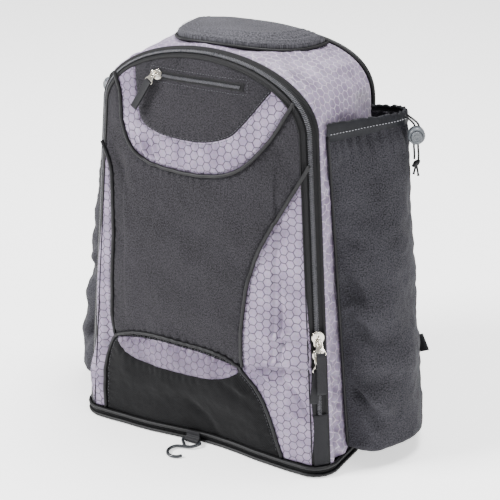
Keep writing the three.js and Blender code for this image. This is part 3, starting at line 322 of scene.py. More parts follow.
def coatedNylon(name, dark, light):
    # nylon with a dull coated face: thin and full of fine creases; the colour darkens with the crease bump,
    # painted shade in the creases
    material, tree, shader = newMaterial(name, {
        "Roughness": 0.55, "Specular IOR Level": 0.16})
    place = surfaceMillimetres(tree)
    crease = grain(tree, place, 12, 4.0, (0.6, 1.2, 1))
    colour = blendColours(tree, crease, linear(dark), linear(light))
    tree.links.new(colour, shader.inputs["Base Color"])
    lay(tree, shader, weave(tree, place, 1.0), 0.15, 0.06)
    lay(tree, shader, crease, 0.7, 1.6)
    return material


def ribbedTape(name, dark, light, pitch, rough=0.62):
    # woven tape: ribs across its run; the colour follows the ribs, painted shade in the grooves between them
    material, tree, shader = newMaterial(name, {
        "Roughness": rough, "Specular IOR Level": 0.22})
    place = surfaceMillimetres(tree)
    parts = addNode(tree, "SeparateXYZ", links={0: place})
    wobble = calc(tree, "MULTIPLY", grain(tree, place, 5, 1.0), 1.2)
    run = calc(tree, "ADD", parts.outputs[0], wobble)
    rib = calc(tree, "SINE", calc(tree, "MULTIPLY", run, 2 * math.pi / pitch))
    fleck = grain(tree, place, 1.3, 2.0)
    share = calc(tree, "ADD", calc(tree, "MULTIPLY", rib, 0.2), fleck, True)
    tree.links.new(blendColours(tree, share, linear(dark), linear(light)),
                   shader.inputs["Base Color"])
    lay(tree, shader, rib, 0.5, 0.18)
    return material


def spacerMesh(name, dark, light):
    # warp-knit spacer mesh over foam: small round holes in rows
    material, tree, shader = newMaterial(name, {
        "Roughness": 0.8, "Sheen Weight": 0.3, "Specular IOR Level": 0.3})
    place = surfaceMillimetres(tree)
    rim = honeycomb(tree, place, 2.2)
    hole = addNode(tree, "MapRange", {"interpolation_type": "SMOOTHSTEP", 1: 0.45, 2: 0.75,
                   3: 0.0, 4: 1.0}, {0: rim})
    tree.links.new(blendColours(tree, hole, linear(dark), linear(light)),
                   shader.inputs["Base Color"])
    lay(tree, shader, hole, 0.8, 0.6)
    return material


def hardFinish(name, colour, rough, metal=0.0, ior=1.5, wearAndSheen=0.08, fleck="#000000"):
    material, tree, shader = newMaterial(name, {"Metallic": metal, "Roughness": rough})
    if not metal:
        shader.inputs["IOR"].default_value = ior
    place = objectMillimetres(tree)
    # the fleck colour is mixed in by a random cloud: wear on most parts, a painted highlight on the zip coil
    cloud = grain(tree, place, 6, 4.0)
    wornAndSheen = calc(tree, "MULTIPLY", cloud, wearAndSheen)
    tree.links.new(blendColours(tree, wornAndSheen, linear(colour), linear(fleck)),
                   shader.inputs["Base Color"])
    uneven = calc(tree, "ADD", calc(tree, "MULTIPLY", cloud, 0.16), rough - 0.08)
    tree.links.new(uneven.outputs[0], shader.inputs["Roughness"])
    lay(tree, shader, grain(tree, place, 0.8, 2.0), 0.12, 0.05)
    return material


cloths = {
    "panel": wovenHoneycomb("honeycomb_satin_panel", honeycombLook, 0.0, 0.95),
    "lens": wovenHoneycomb("honeycomb_satin_lens", lensLook, 0.0, 0.9),
    # the gusset's copy mixes its outlines towards the pale colour: painted sheen where the top faces the light
    "gusset": wovenHoneycomb("honeycomb_satin_gusset_painted_sheen", honeycombLook, 0.75, 0.6),
    "oxford": oxfordCloth("polyester_oxford", "#0d0d0f", "#312f34"),
    # a lighter copy of the oxford for the handle pad: painted light where the top light falls on its top
    "handle": oxfordCloth("polyester_oxford_handle_painted_light", "#1f1f22", "#525157"),
    "oxfordDark": oxfordCloth("polyester_oxford_dark", "#020203", "#0d0d0f"),
    "sleeve": oxfordCloth("polyester_oxford_sleeve", "#121215", "#3d3c42"),
    "binding": smoothBinding("grosgrain_piping", "#030304", "#111114"),
    "nylon": coatedNylon("coated_nylon", "#08080a", "#1e1f24"),
    "tape": ribbedTape("zip_tape_twill", "#020203", "#101013", 1.6),
    "strip": ribbedTape("zip_cover_tape", "#070709", "#1c1c21", 1.2),
    "webbing": ribbedTape("polypropylene_webbing", "#0c0c0e", "#232327", 2.0),
    "ribbon": ribbedTape("grosgrain_ribbon", "#09090b", "#212125", 1.5),
    "mesh": spacerMesh("spacer_mesh", "#2c2b2f", "#0c0c0e"),
    # nylon 6 coil, drawn and dyed black, with a gloss from heat setting; its pale fleck, mixed in at random, is
    # a painted highlight on the teeth
    "coil": hardFinish("nylon_zip_coil", "#2a2a2f", 0.3, fleck="#7a7a80", wearAndSheen=0.5),
    # die-cast zinc, nickel plated and tumbled: warm bright metal
    "zinc": hardFinish("nickel_plated_zinc", "#d8d3c8", 0.22, 1.0, fleck="#6f6a60", wearAndSheen=0.35),
    # sprung steel wire under black powder coat
    "wire": hardFinish("coated_steel_wire", "#1b1d20", 0.28, fleck="#4a4d52", wearAndSheen=0.4),
    # ABS moulded with a fine satin grain
    "lock": hardFinish("moulded_abs_grey", "#54585d", 0.38, fleck="#43464a", wearAndSheen=0.3),
    # acetal moulding, satin black
    "buckle": hardFinish("acetal_black", "#0e0e10", 0.42, fleck="#3a3a3e", wearAndSheen=0.4),
    "cord": smoothBinding("braided_polyester_cord", "#060607", "#1c1c20", 0.6),
    # spun polyester sewing thread
    "thread": smoothBinding("black_thread", "#2a2a2e", "#5a5a60", 0.5),
    "paleThread": smoothBinding("grey_thread", "#77777d", "#b4b4ba", 0.5),
}
print("materials made")


# pieces
def link(bm, name, finish, nodes=(), body="bag", flat=False):
    mesh = bpy.data.meshes.new(name)
    bm.to_mesh(mesh)
    bm.free()
    for face in mesh.polygons:
        face.use_smooth = not flat
    piece = bpy.data.objects.new(name, mesh)
    bpy.context.scene.collection.objects.link(piece)
    mesh.materials.append(cloths[finish])
    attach(piece, body)
    if nodes:
        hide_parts(*nodes)
    return piece


def thicken(piece, thickness):
    wall = piece.modifiers.new("wall", "SOLIDIFY")
    wall.thickness = thickness * mm
    wall.offset = -1
    return piece


def surfaceNormals(points):
    return unit(np.cross(np.gradient(points, axis=1), np.gradient(points, axis=0)))


def clothMap(points):  # millimetres along the cloth from its middle row and column
    rows, columns = points.shape[:2]
    across = np.linalg.norm(np.diff(points, axis=1), axis=2).mean(axis=0)
    upward = np.linalg.norm(np.diff(points, axis=0), axis=2).mean(axis=1)
    u = np.concatenate([[0], np.cumsum(across)])
    v = np.concatenate([[0], np.cumsum(upward)])
    return np.stack(np.meshgrid(u - u.mean(), v - v.mean()), axis=-1)


def gridCloth(points, uv=None, facing=None, wrap=False):
    rows, columns = points.shape[:2]
    bm = bmesh.new()
    made = bmesh.ops.create_grid(bm, x_segments=columns - 1, y_segments=rows - 1, size=1)
    i = np.array([round((v.co.x + 1) / 2 * (columns - 1)) for v in made["verts"]])
    j = np.array([round((v.co.y + 1) / 2 * (rows - 1)) for v in made["verts"]])
    uv = clothMap(points) if uv is None else uv
    for vert, place in zip(made["verts"], points[j, i] * mm):
        vert.co = place
    layer = bm.loops.layers.uv.new("cloth")
    flat = uv[j, i]
    bm.verts.index_update()
    for face in bm.faces:
        for loop in face.loops:
            loop[layer].uv = flat[loop.vert.index]
    if wrap:
        bmesh.ops.remove_doubles(bm, verts=bm.verts[:], dist=1e-6)
    bm.normal_update()
    if facing is not None:
        total = sum((f.normal * f.calc_area() for f in bm.faces), Vector())
        if total.dot(Vector(facing)) < 0:
            bmesh.ops.reverse_faces(bm, faces=bm.faces[:])
    return bm


def tubeOn(line, radius, sides=10, closed=False, lift=None):
    line = np.asarray(line, float)
    ahead = np.gradient(line, axis=0)
    if closed:
        ahead = np.roll(line, -1, axis=0) - np.roll(line, 1, axis=0)
    ahead = unit(ahead)
    hint = np.array((0.0, -1.0, 0.0)) if lift is None else np.asarray(lift, float)
    side = unit(np.cross(ahead, np.broadcast_to(hint, ahead.shape)))
    out = np.cross(side, ahead)
    turn = np.linspace(0, 2 * np.pi, sides + 1)
    radii = np.broadcast_to(np.asarray(radius, float), (len(line),))
    ring = (line[:, None] + radii[:, None, None] * (side[:, None] * np.cos(turn)[None, :, None]
            + out[:, None] * np.sin(turn)[None, :, None]))
    return np.concatenate([ring, ring[:1]]) if closed else ring


def tubeMesh(line, radius, sides=10, closed=False, lift=None):
    bm = gridCloth(tubeOn(line, radius, sides, closed, lift), wrap=True)
    if not closed:
        bmesh.ops.holes_fill(bm, edges=[e for e in bm.edges if e.is_boundary])
    bmesh.ops.recalc_face_normals(bm, faces=bm.faces[:])
    return bm


def joined(parts):
    whole = parts[0]
    for part in parts[1:]:
        carried = bpy.data.meshes.new("part")
        part.to_mesh(carried)
        part.free()
        whole.from_mesh(carried)
        bpy.data.meshes.remove(carried)
    return whole


def stitches(rows, thick=0.34, length=3.0, gap=1.1):  # rows of (line, outward) in millimetres
    bm = bmesh.new()
    for line, outward in rows:
        total = np.linalg.norm(np.diff(line, axis=0), axis=1).sum()
        count = max(2, int(total / (length + gap)))
        spots = evenly(line, 2 * count + 1)
        outs = unit(evenly(outward, 2 * count + 1))
        for k in range(count):
            a, b, out = spots[2 * k], spots[2 * k + 1], outs[2 * k]
            b = a + unit(b - a) * length
            ahead = unit(b - a)
            side = unit(np.cross(ahead, out))
            basis = Matrix((Vector(ahead) * (length / 2), Vector(side) * thick,
                            Vector(np.cross(side, ahead)) * thick)).transposed().to_4x4()
            basis = Matrix.Translation(Vector((a + b) / 2 + out * thick * 0.5)) @ basis
            made = bmesh.ops.create_icosphere(bm, subdivisions=1, radius=1, matrix=basis)
            for vert in made["verts"]:
                vert.co *= mm
    bmesh.ops.recalc_face_normals(bm, faces=bm.faces[:])
    return bm


# the body's form in millimetres, from the CAD's own sizes
body = {"halfBase": 170, "halfShoulder": 141, "shoulder": 400, "archTop": 480, "backTop": 474,
        "backPower": 2.7, "zipBase": -90, "zipTop": -61, "backY": 60, "crown": 12,
        "shellBottom": 14.3, "bandWidth": 22, "gussetCrown": 4}
archRise = body["archTop"] - body["shoulder"]


def bandLean(degrees):  # how far the zip band runs inwards and forwards
    lean = math.radians(degrees)
    return body["bandWidth"] * math.sin(lean), body["bandWidth"] * math.cos(lean)


bandSide, bandTop = bandLean(45), bandLean(20)


def halfWidth(z):
    return mix(body["halfBase"], body["halfShoulder"],
               np.minimum(z, body["shoulder"]) / body["shoulder"])


def zipLineY(z):
    return mix(body["zipBase"], body["zipTop"], z / body["archTop"])


def archEdge(s, inset, rise, power=2.0):
    s = np.asarray(s, float)
    side = np.where(s < 0, -1.0, 1.0)
    far = np.abs(s)
    low = far >= 0.5
    z = mix(body["shoulder"], body["shellBottom"], (far - 0.5) / 0.5)
    turn = np.pi / 2 * (1 - np.minimum(far, 0.5) / 0.5)
    x = np.where(low, halfWidth(z) - inset,
                 (body["halfShoulder"] - inset) * np.abs(np.cos(turn)) ** (2 / power))
    return side * x, np.where(low, z, body["shoulder"] + rise * np.sin(turn) ** (2 / power))


def heightShare(z):
    return np.clip((z - body["shoulder"]) / (archRise - bandTop[0]), 0, 1)


def frontDent(x, z):
    away = (x - 17) / 61.2
    above = np.maximum((z - 14) / 48, 0)
    return 9 * np.exp(-away * away - above ** 2)


def frontY(x, z):
    high = heightShare(z)
    wide = np.abs(x) / (halfWidth(z) - bandSide[0])
    edge = np.minimum(np.hypot(wide, high), 1)
    crown = body["crown"] * np.interp(z / body["archTop"], [0, 0.15, 0.35, 0.6, 0.85, 1],
                                      [0.08, 0.6, 0.92, 1, 0.85, 0.7])
    return zipLineY(z) - mix(bandSide[1], bandTop[1],
                             high) - crown * (1 - edge ** 2.3) + frontDent(x, z)


def onFront(points, lift=0.0):
    points = np.asarray(points, float)
    x, z = points[..., 0], points[..., 1]
    return np.stack([x, frontY(x, z) - lift, z], axis=-1)


def frontOut(x, z):  # the front's outward direction
    y = frontY(x, z)
    return unit(np.stack([y - frontY(x + 1, z), -np.ones_like(y), y - frontY(x, z + 1)], axis=-1)
                * np.array([-1, 1, -1]))


def outerZip(s):
    x, z = archEdge(s, 0, archRise)
    return np.stack([x, zipLineY(z), z], axis=-1)


def innerZip(s):
    x, z = archEdge(s, bandSide[0], archRise - bandTop[0])
    return np.stack([x, zipLineY(z) - mix(bandSide[1], bandTop[1], heightShare(z)), z], axis=-1)


def zipBand(s, w, lift):
    s, w, lift = np.broadcast_arrays(*(np.asarray(v, float) for v in (s, w, lift)))
    along = unit(outerZip(np.minimum(s + 0.004, 1)) - outerZip(np.maximum(s - 0.004, -1)))
    outer = outerZip(s)
    across = innerZip(s) - outer
    out = unit(np.cross(across, along))
    return outer + across * w[..., None] + out * lift[..., None]


def zipStations(start, end, step):  # places along the zip, evenly spaced
    s = np.linspace(start, end, 1200)
    middle = zipBand(s, 0.5, 0.0)
    run = np.concatenate([[0], np.cumsum(np.linalg.norm(np.diff(middle, axis=0), axis=1))])
    return np.interp(np.arange(0, run[-1], step), run, s)


def gussetPoint(s, v, inset):
    s, v, inset = np.broadcast_arrays(*(np.asarray(k, float) for k in (s, v, inset)))
    frontX, frontZ = archEdge(s, inset, archRise - inset)
    backX, backZ = archEdge(s, inset, body["backTop"] - body["shoulder"] - inset,
                            body["backPower"])
    front = np.stack([frontX, zipLineY(frontZ), frontZ], axis=-1)
    back = np.stack([backX, np.full_like(backX, body["backY"]), backZ], axis=-1)
    point = mix(front, back, v[..., None])
    side = np.minimum(1, np.abs(point[..., 0]) / body["halfShoulder"])
    crown = body["gussetCrown"] * np.sin(np.pi * v)
    point[..., 0] += np.sign(point[..., 0]) * crown * side * side * 0.4
    point[..., 2] += crown * (1 - side * side) * 0.5
    return point


def topSurface(x, y):
    share = np.clip((y - body["zipTop"]) / (body["backY"] - body["zipTop"]), 0, 1)
    wide = np.minimum(1, np.abs(x) / body["halfShoulder"])
    front = body["shoulder"] + archRise * np.sqrt(1 - wide * wide)
    rise, power = body["backTop"] - body["shoulder"], body["backPower"]
    back = body["shoulder"] + rise * (1 - wide ** power) ** (1 / power)
    return mix(front, back, share) + body["gussetCrown"] * 0.5 * np.sin(np.pi * share)


def sleeveWallX(z):
    return halfWidth(z) + 1.9


sleeve = {"top": 396, "bottom": 26, "seamFront": -53, "seamBack": 56, "reachTop": 50,
          "reachBase": 64}
sleeveRows = {"up": [0, 0.3, 0.7, 1], "frontOut": [0.62, 0.6, 0.52, 0.46],
              "frontAt": [0.02, 0.06, 0.2, 0.37], "sideAt": [0.55, 0.58, 0.7, 0.86],
              "backOut": [0.66, 0.7, 0.74, 0.72], "backAt": [1.02, 1.03, 1.05, 1.07]}


def sleeveCurve(z):
    up = min(max((z - sleeve["bottom"]) / (sleeve["top"] - sleeve["bottom"]), 0), 1)
    row = {k: np.interp(up, sleeveRows["up"], v) for k, v in sleeveRows.items()}
    reach = mix(sleeve["reachBase"], sleeve["reachTop"], up)
    depth = sleeve["seamBack"] - sleeve["seamFront"]
    wall = float(sleeveWallX(z))
    at = [(0, 0), (row["frontOut"], row["frontAt"]), (1, row["sideAt"]),
          (row["backOut"], row["backAt"]), (0, 1)]
    return curveThrough([(wall + reach * o, sleeve["seamFront"] + depth * a) for o, a in at])


def sleeveRing(z, shares, inset=0.0):  # points round the sleeve at one height, and outward
    line = sleeveCurve(z)
    run = np.concatenate([[0], np.cumsum(np.linalg.norm(np.diff(line, axis=0), axis=1))])
    ahead = np.gradient(line, axis=0)
    want = np.asarray(shares) * run[-1]
    place = np.stack([np.interp(want, run, line[:, k]) for k in (0, 1)], axis=1)
    tangent = unit(np.stack([np.interp(want, run, ahead[:, k]) for k in (0, 1)], axis=1))
    inward = np.stack([-tangent[:, 1], tangent[:, 0]], axis=1)
    place = place + inward * np.broadcast_to(inset, want.shape)[:, None]
    place[:, 0] = np.maximum(place[:, 0], sleeveWallX(z))
    return place, -inward


seams = {
    "bandOuter": [(-0.8, 0.925), (-0.745, 0.875), (-0.712, 0.8), (-0.631, 0.752), (-0.475, 0.722),
                  (-0.22, 0.714), (0.106, 0.716), (0.312, 0.73), (0.454, 0.756), (0.66, 0.826),
                  (0.84, 0.915)],
    "bandInner": [(-0.6, 0.965), (-0.57, 0.89), (-0.504, 0.82), (-0.376, 0.8), (-0.07, 0.791),
                  (0.135, 0.797), (0.305, 0.816), (0.411, 0.846), (0.7, 0.95)],
    "right": [(0.98, 0.775), (0.787, 0.67), (0.631, 0.585), (0.525, 0.508), (0.468, 0.423),
              (0.443, 0.34), (0.433, 0.25)],
    "left": [(-0.95, 0.745), (-0.868, 0.69), (-0.84, 0.606), (-0.852, 0.45), (-0.872, 0.29),
             (-0.855, 0.235)],
    "pocket": [(-0.965, 0.03), (-0.943, 0.11), (-0.908, 0.21), (-0.82, 0.246), (-0.51, 0.273),
               (-0.11, 0.275), (0.277, 0.265), (0.468, 0.229), (0.617, 0.177), (0.716, 0.1),
               (0.802, 0.03)],
    "lens": [(-0.83, 0.236), (-0.71, 0.25), (-0.4, 0.262), (-0.1, 0.263), (0.22, 0.255),
             (0.4, 0.236), (0.25, 0.206), (-0.007, 0.196), (-0.355, 0.193), (-0.645, 0.2)],
}
seamLines = {name: evenly(curveThrough([(a * body["halfShoulder"], u * body["archTop"])
             for a, u in points], name == "lens"), 90) for name, points in seams.items()}


# drawcords
cords = {"diameter": 2.4, "front": [(193.11, 38.41, 401.55), (196.11, 38.41, 400.05),
         (204.72, 39.49, 392.28), (204.72, 39.49, 380.48), (204.72, 39.49, 368.68),
         (205.72, 39.49, 357.56), (205.72, 39.49, 352.28)],
         "rear": [(194.22, 42.87, 401.41), (197.22, 42.87, 399.91), (208.71, 41.79, 392.28),
         (208.71, 41.79, 380.48), (208.71, 41.79, 368.68), (209.71, 41.79, 357.56),
         (209.71, 41.79, 352.28)], "fine": 6}


def addCord(name, route, hand, nodes):
    points = curveThrough([(x * hand, y, z) for x, y, z in route], fine=cords["fine"])
    data = bpy.data.curves.new(name, "CURVE")
    data.dimensions = "3D"
    data.bevel_depth = cords["diameter"] / 2 * mm
    data.bevel_resolution = 4
    data.use_fill_caps = True
    spline = data.splines.new("POLY")
    spline.points.add(len(points) - 1)
    for point, place in zip(spline.points, points):
        point.co = (*(place * mm), 1)
    piece = bpy.data.objects.new(name, data)
    bpy.context.scene.collection.objects.link(piece)
    data.materials.append(cloths["cord"])
    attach(piece, "bag")
    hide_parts(*nodes)
    length = np.linalg.norm(np.diff(points, axis=0), axis=1).sum() * mm
    return piece, points, length


for handName, hand in (("right", 1), ("left", -1)):
    for which, way in (("front", 1), ("rear", -1)):
        cordPiece, cordLine, cordLength = addCord(f"drawcord_{which}_{handName}_braid",
                                                  cords[which],
                                                  hand, [f"drawcord_{which}_{handName}"])
print("cords made")


def cutCloth(low, high, step, inside, borders, place, facing):
    # a lattice cut to an outline: its rim is moved onto the border lines
    bm = bmesh.new()
    counts = [max(2, round((b - a) / step)) for a, b in zip(low, high)]
    bmesh.ops.create_grid(bm, x_segments=counts[0], y_segments=counts[1], size=1)
    for vert in bm.verts:
        vert.co.x = mix(low[0], high[0], (vert.co.x + 1) / 2)
        vert.co.y = mix(low[1], high[1], (vert.co.y + 1) / 2)
    centres = np.array([f.calc_center_median()[:2] for f in bm.faces])
    kept = inside(centres[:, 0], centres[:, 1])
    bmesh.ops.delete(bm, geom=[f for f, k in zip(bm.faces[:], kept) if not k], context="FACES")
    rim = [v for v in bm.verts if v.is_boundary]
    flat = np.array([v.co[:2] for v in rim])
    best = np.full(len(rim), 1e9)
    spot = flat.copy()
    for line in borders:
        d, x, y, run = nearest(flat[:, 0], flat[:, 1], line)
        near = d < best
        best = np.where(near, d, best)
        spot[near] = np.stack([x, y], axis=1)[near]
    for vert, (x, y), d in zip(rim, spot, best):
        if d < 2.5 * step:
            vert.co.x, vert.co.y = x, y
    loose = [v for v in bm.verts if not v.is_boundary]
    for again in range(3):
        bmesh.ops.smooth_vert(bm, verts=loose, factor=0.5, use_axis_x=True, use_axis_y=True)
    flat = np.array([v.co[:2] for v in bm.verts])
    layer = bm.loops.layers.uv.new("cloth")
    bm.verts.index_update()
    for face in bm.faces:
        for loop in face.loops:
            loop[layer].uv = flat[loop.vert.index]
    for vert, point in zip(bm.verts, place(flat[:, 0], flat[:, 1]) * mm):
        vert.co = point
    bm.normal_update()
    if sum((f.normal * f.calc_area() for f in bm.faces), Vector()).dot(Vector(facing)) < 0:
        bmesh.ops.reverse_faces(bm, faces=bm.faces[:])
    return bm


# front panels
front = {"step": 1.8, "wall": 1.8, "valley": 1.5, "valleyWidth": 3.4,
         "pucker": 0.6, "puckerPitch": 9.5, "wander": 2.6, "crumple": 0.8}
folds = [
    {"line": [(74, 129), (108, 135), (141, 138)], "high": 3.0, "wide": 5.5},
    {"line": [(90, 162), (118, 169), (139, 172)], "high": 2.4, "wide": 5.0},
    {"line": [(108, 230), (110, 180), (112, 117)], "high": -2.2, "wide": 2.6},
    {"line": [(113, 116), (134, 94), (148, 65)], "high": -2.0, "wide": 2.8},
    {"line": [(74, 123), (90, 118), (105, 109)], "high": 2.2, "wide": 4.0},
    {"line": [(117, 81), (139, 69)], "high": 1.8, "wide": 4.5},
    {"line": [(-75, 376), (-67, 355)], "high": 1.9, "wide": 3.2},
    {"line": [(-59, 376), (-49, 350)], "high": 1.6, "wide": 3.0},
    {"line": [(-89, 121), (-100, 102)], "high": 1.5, "wide": 2.6},
    {"line": [(-73, 125), (-77, 116)], "high": 1.2, "wide": 2.2},
    {"line": [(82, 368), (104, 380), (127, 387)], "high": -2.4, "wide": 11.0},
    {"line": [(-60, 464), (-64, 455)], "high": -1.5, "wide": 3.6},
    {"line": [(-22, 471), (-25, 462)], "high": -1.2, "wide": 3.4},
    {"line": [(47, 98), (72, 85)], "high": 1.8, "wide": 6.0},
    {"line": [(-116, 352), (-104, 330), (-94, 309)], "high": -2.0, "wide": 8.0},
    {"line": [(-134, 150), (-128, 118), (-136, 80)], "high": -3.5, "wide": 9.0},
    {"line": [(72, 240), (96, 262), (118, 300)], "high": -1.4, "wide": 8.0},
    {"line": [(-20, 60), (14, 34), (20, 18)], "high": -2.2, "wide": 9.0},
    {"line": [(-90, 60), (-40, 72), (20, 70)], "high": 1.2, "wide": 14.0},
]


def frontRelief(x, z):
    at = np.stack([x, z], axis=-1)
    rim = innerZip(np.linspace(-1, 1, 160))[:, [0, 2]]
    toRim = nearest(x, z, rim)[0]
    loose = smoothStep(0, 14, toRim) * smoothStep(14, 30, z)
    total = loose * (front["wander"] * cloudy(at, 62, 2) + front["crumple"]
                     * cloudy(at, 15, 3, 7.1))
    for name, line in seamLines.items():
        if name == "lens":
            line = np.concatenate([line, line[:1]])
        d, px, pz, run = nearest(x, z, line)
        total -= front["valley"] * bell(d / front["valleyWidth"])
        wave = np.sin(2 * np.pi * run / front["puckerPitch"] + 3 * np.sin(run / 23))
        total += front["pucker"] * wave * bell((d - 5) / 5) * smoothStep(0, 3, d)
    for fold in folds:
        line = np.array(fold["line"], float)
        if len(line) > 2:
            line = curveThrough(line)
        d, px, pz, run = nearest(x, z, line)
        length = np.linalg.norm(np.diff(line, axis=0), axis=1).sum()
        share = run / length
        ahead = unit(line[-1] - line[0])
        side = (x - px) * ahead[1] - (z - pz) * ahead[0]
        fade = 0.35 + 0.65 * np.sin(np.pi * np.clip(share, 0.05, 0.95))
        total += 1.8 * fade * fold["high"] * bell(d / (0.8 * fold["wide"]))
        if fold["high"] > 0:
            total -= 1.2 * fade * fold["high"] * bell((side - 1.7 * fold["wide"]) / fold["wide"]) \
                * bell(np.maximum(d - 3 * fold["wide"], 0) / fold["wide"])
    inPocket = isInside(x, z, regions["pocket"])
    toPocket = nearest(x, z, seamLines["pocket"])[0]
    total += np.where(inPocket, 2.6 * smoothStep(2, 26, toPocket) * smoothStep(10, 40, z), 0)
    toBand = nearest(x, z, seamLines["bandOuter"])[0]
    inBand = isInside(x, z, regions["bandOuter"])
    total += np.where(inBand, 1.4 * smoothStep(1, 8, toBand), 0)
    lower = ~inBand & ~inPocket & (np.abs(x) < 100)
    total += np.where(lower, 2.2 * smoothStep(4, 50, np.minimum(toBand, toPocket)), 0)
    return total * np.minimum(1, 0.35 + toRim / 16)


def leftBulge(x, z):  # the left side panel swells over the zip, pinched a third of the way up
    swell = 9 * bell((z - 58) / 32) + 6 * bell((z - 190) / 58) + 2 * bell((z - 300) / 60)
    return -swell * smoothStep(-118, -152, x)


def rightBulge(x, z):
    swell = 4.0 * bell((z - 150) / 60) + 3.0 * bell((z - 60) / 25)
    return swell * smoothStep(118, 150, x)


def placeFront(x, z, lift=0.0):
    return onFront(np.stack([x, z], axis=-1), frontRelief(x, z) + lift) \
        + np.stack([leftBulge(x, z) + rightBulge(x, z), 0 * x, 0 * z], axis=-1)


regions = {
    "bandInner": np.concatenate([seamLines["bandInner"], [(125, 620), (-102, 620)]]),
    "bandOuter": np.concatenate([seamLines["bandOuter"], [(150, 620), (-136, 620)]]),
    "pocket": np.concatenate([seamLines["pocket"], [(113, -300), (-136, -300)]]),
    "lens": seamLines["lens"],
    "right": np.concatenate([seamLines["right"], [(61, -300), (340, -300), (340, 400)]]),
    "left": np.concatenate([seamLines["left"], [(-120.6, -300), (-340, -300), (-340, 400)]]),
}
outlineRim = innerZip(np.linspace(-1, 1, 240))[:, [0, 2]]
frontFoot = np.array([outlineRim[0], outlineRim[-1]])
frontPanels = [
    ("top_pocket_panel", "oxford", "black_fabric", ["bandInner"], []),
    ("band_panel", "panel", "lavender_fabric", ["bandOuter"], ["bandInner"]),
    ("centre_panel", "oxford", "black_fabric", [], ["bandOuter", "pocket", "left", "right"]),
    ("side_panel_right", "panel", "lavender_fabric", ["right"], ["bandOuter", "pocket"]),
    ("side_panel_left", "panel", "lavender_fabric", ["left"], ["pocket"]),
    ("lower_pocket_panel", "oxfordDark", "dark_fabric", ["pocket"], ["lens"]),
    ("lens_inset", "lens", "lavender_fabric", ["lens"], []),
]
for node, finish, slotName, keep, drop in frontPanels:
    def inside(x, z, keep=keep, drop=drop):
        mask = isInside(x, z, outlineRim)
        for name in keep:
            mask &= isInside(x, z, regions[name])
        for name in drop:
            mask &= ~isInside(x, z, regions[name])
        return mask
    borders = [outlineRim, frontFoot] + [np.concatenate([seamLines[n], seamLines[n][:1]])
                                         if n == "lens" else seamLines[n] for n in keep + drop]
    bm = cutCloth((-158, 14.3), (158, 474), front["step"], inside, borders, placeFront, (0, -1, 0))
    thicken(link(bm, node + "_cloth", finish, [node]), front["wall"])
print("front panels made")


# piping on the front's seams: cord in a folded bias strip
piping = {"radius": 2.15, "sides": 14, "stations": 150, "lift": 1.7, "wobble": 0.12}
for node, name in (("piping_band", "bandOuter"), ("piping_right", "right"),
                   ("piping_left", "left"), ("piping_pocket", "pocket")):
    line = evenly(seamLines[name], piping["stations"])
    line = placeFront(line[:, 0], line[:, 1], piping["lift"])
    wobble = piping["wobble"] * cloudy(line, 9, 2)[:, None]
    bm = tubeMesh(line + wobble, piping["radius"], piping["sides"])
    link(bm, node + "_cord", "binding", [node])

topstitch = {"length": 2.9, "gap": 1.2}


def seamStitches(name, offset, start=0.02, end=0.98):
    line = evenly(seamLines[name], 160, start, end)
    ahead = unit(np.gradient(line, axis=0))
    moved = line + np.stack([-ahead[:, 1], ahead[:, 0]], axis=1) * offset
    keep = isInside(moved[:, 0], moved[:, 1], outlineRim)
    moved = moved[keep]
    return placeFront(moved[:, 0], moved[:, 1], 0.25), frontOut(moved[:, 0], moved[:, 1])


bm = stitches([seamStitches("bandInner", 1.9), seamStitches("bandInner", -1.9),
               seamStitches("bandOuter", 4.4), seamStitches("pocket", -4.4),
               seamStitches("right", 4.2, 0.1), seamStitches("left", -4.2, 0.1)],
              length=topstitch["length"], gap=topstitch["gap"])
link(bm, "front_topstitch", "thread")
print("piping and stitches made")


# sides and top, one length of cloth round the arch
gusset = {"columns": 460, "rows": 74, "wall": 1.8,
          "soft": 2.6, "crease": 1.0}
s = np.linspace(-1, 1, gusset["columns"])
v = np.linspace(0, 1, gusset["rows"]) ** 1.15
alongGrid, depthGrid = np.meshgrid(s, v)
points = gussetPoint(alongGrid, depthGrid, 0.0)
along = np.concatenate([[0], np.cumsum(np.linalg.norm(np.diff(points[3], axis=0), axis=1))])
run = np.broadcast_to(along, alongGrid.shape)
depth = points[..., 1]
loose = smoothStep(0, 0.07, depthGrid) * smoothStep(0, 0.06, 1 - depthGrid)
relief = loose * (gusset["soft"] * cloudy(points, 48, 2, 3.3) + gusset["crease"]
                  * cloudy(points, 14, 3, 9.2))
pull = np.sin(2 * np.pi * (run + 0.9 * (depth + 70) + 5 * np.sin(run / 41)) / 27)
relief += (2.6 * pull + 1.2 * np.sin(2 * np.pi * (run - 0.6 * depth) / 17)) * bell((depth
                                                                                    + 72) / 15) * loose
relief += 1.1 * np.sin(2 * np.pi * (run - 0.5 * depth + 6 * np.sin(run / 57)) / 33) * bell((depth
                                                                                            - 30) / 30) * loose
relief += 1.8 * bell((depthGrid - 0.026) / 0.018)  # the folded edge beside the zip
relief -= 2.0 * bell((depthGrid - 0.072) / 0.022)
points = points + surfaceNormals(points) * relief[..., None] * np.sign(
    (surfaceNormals(points)[:, gusset["columns"] // 2, 2]).mean())
piece = link(gridCloth(points, facing=(0, 0, 1)), "gusset_cloth", "gusset",
             ["gusset"])
thicken(piece, gusset["wall"])
print("gusset made")


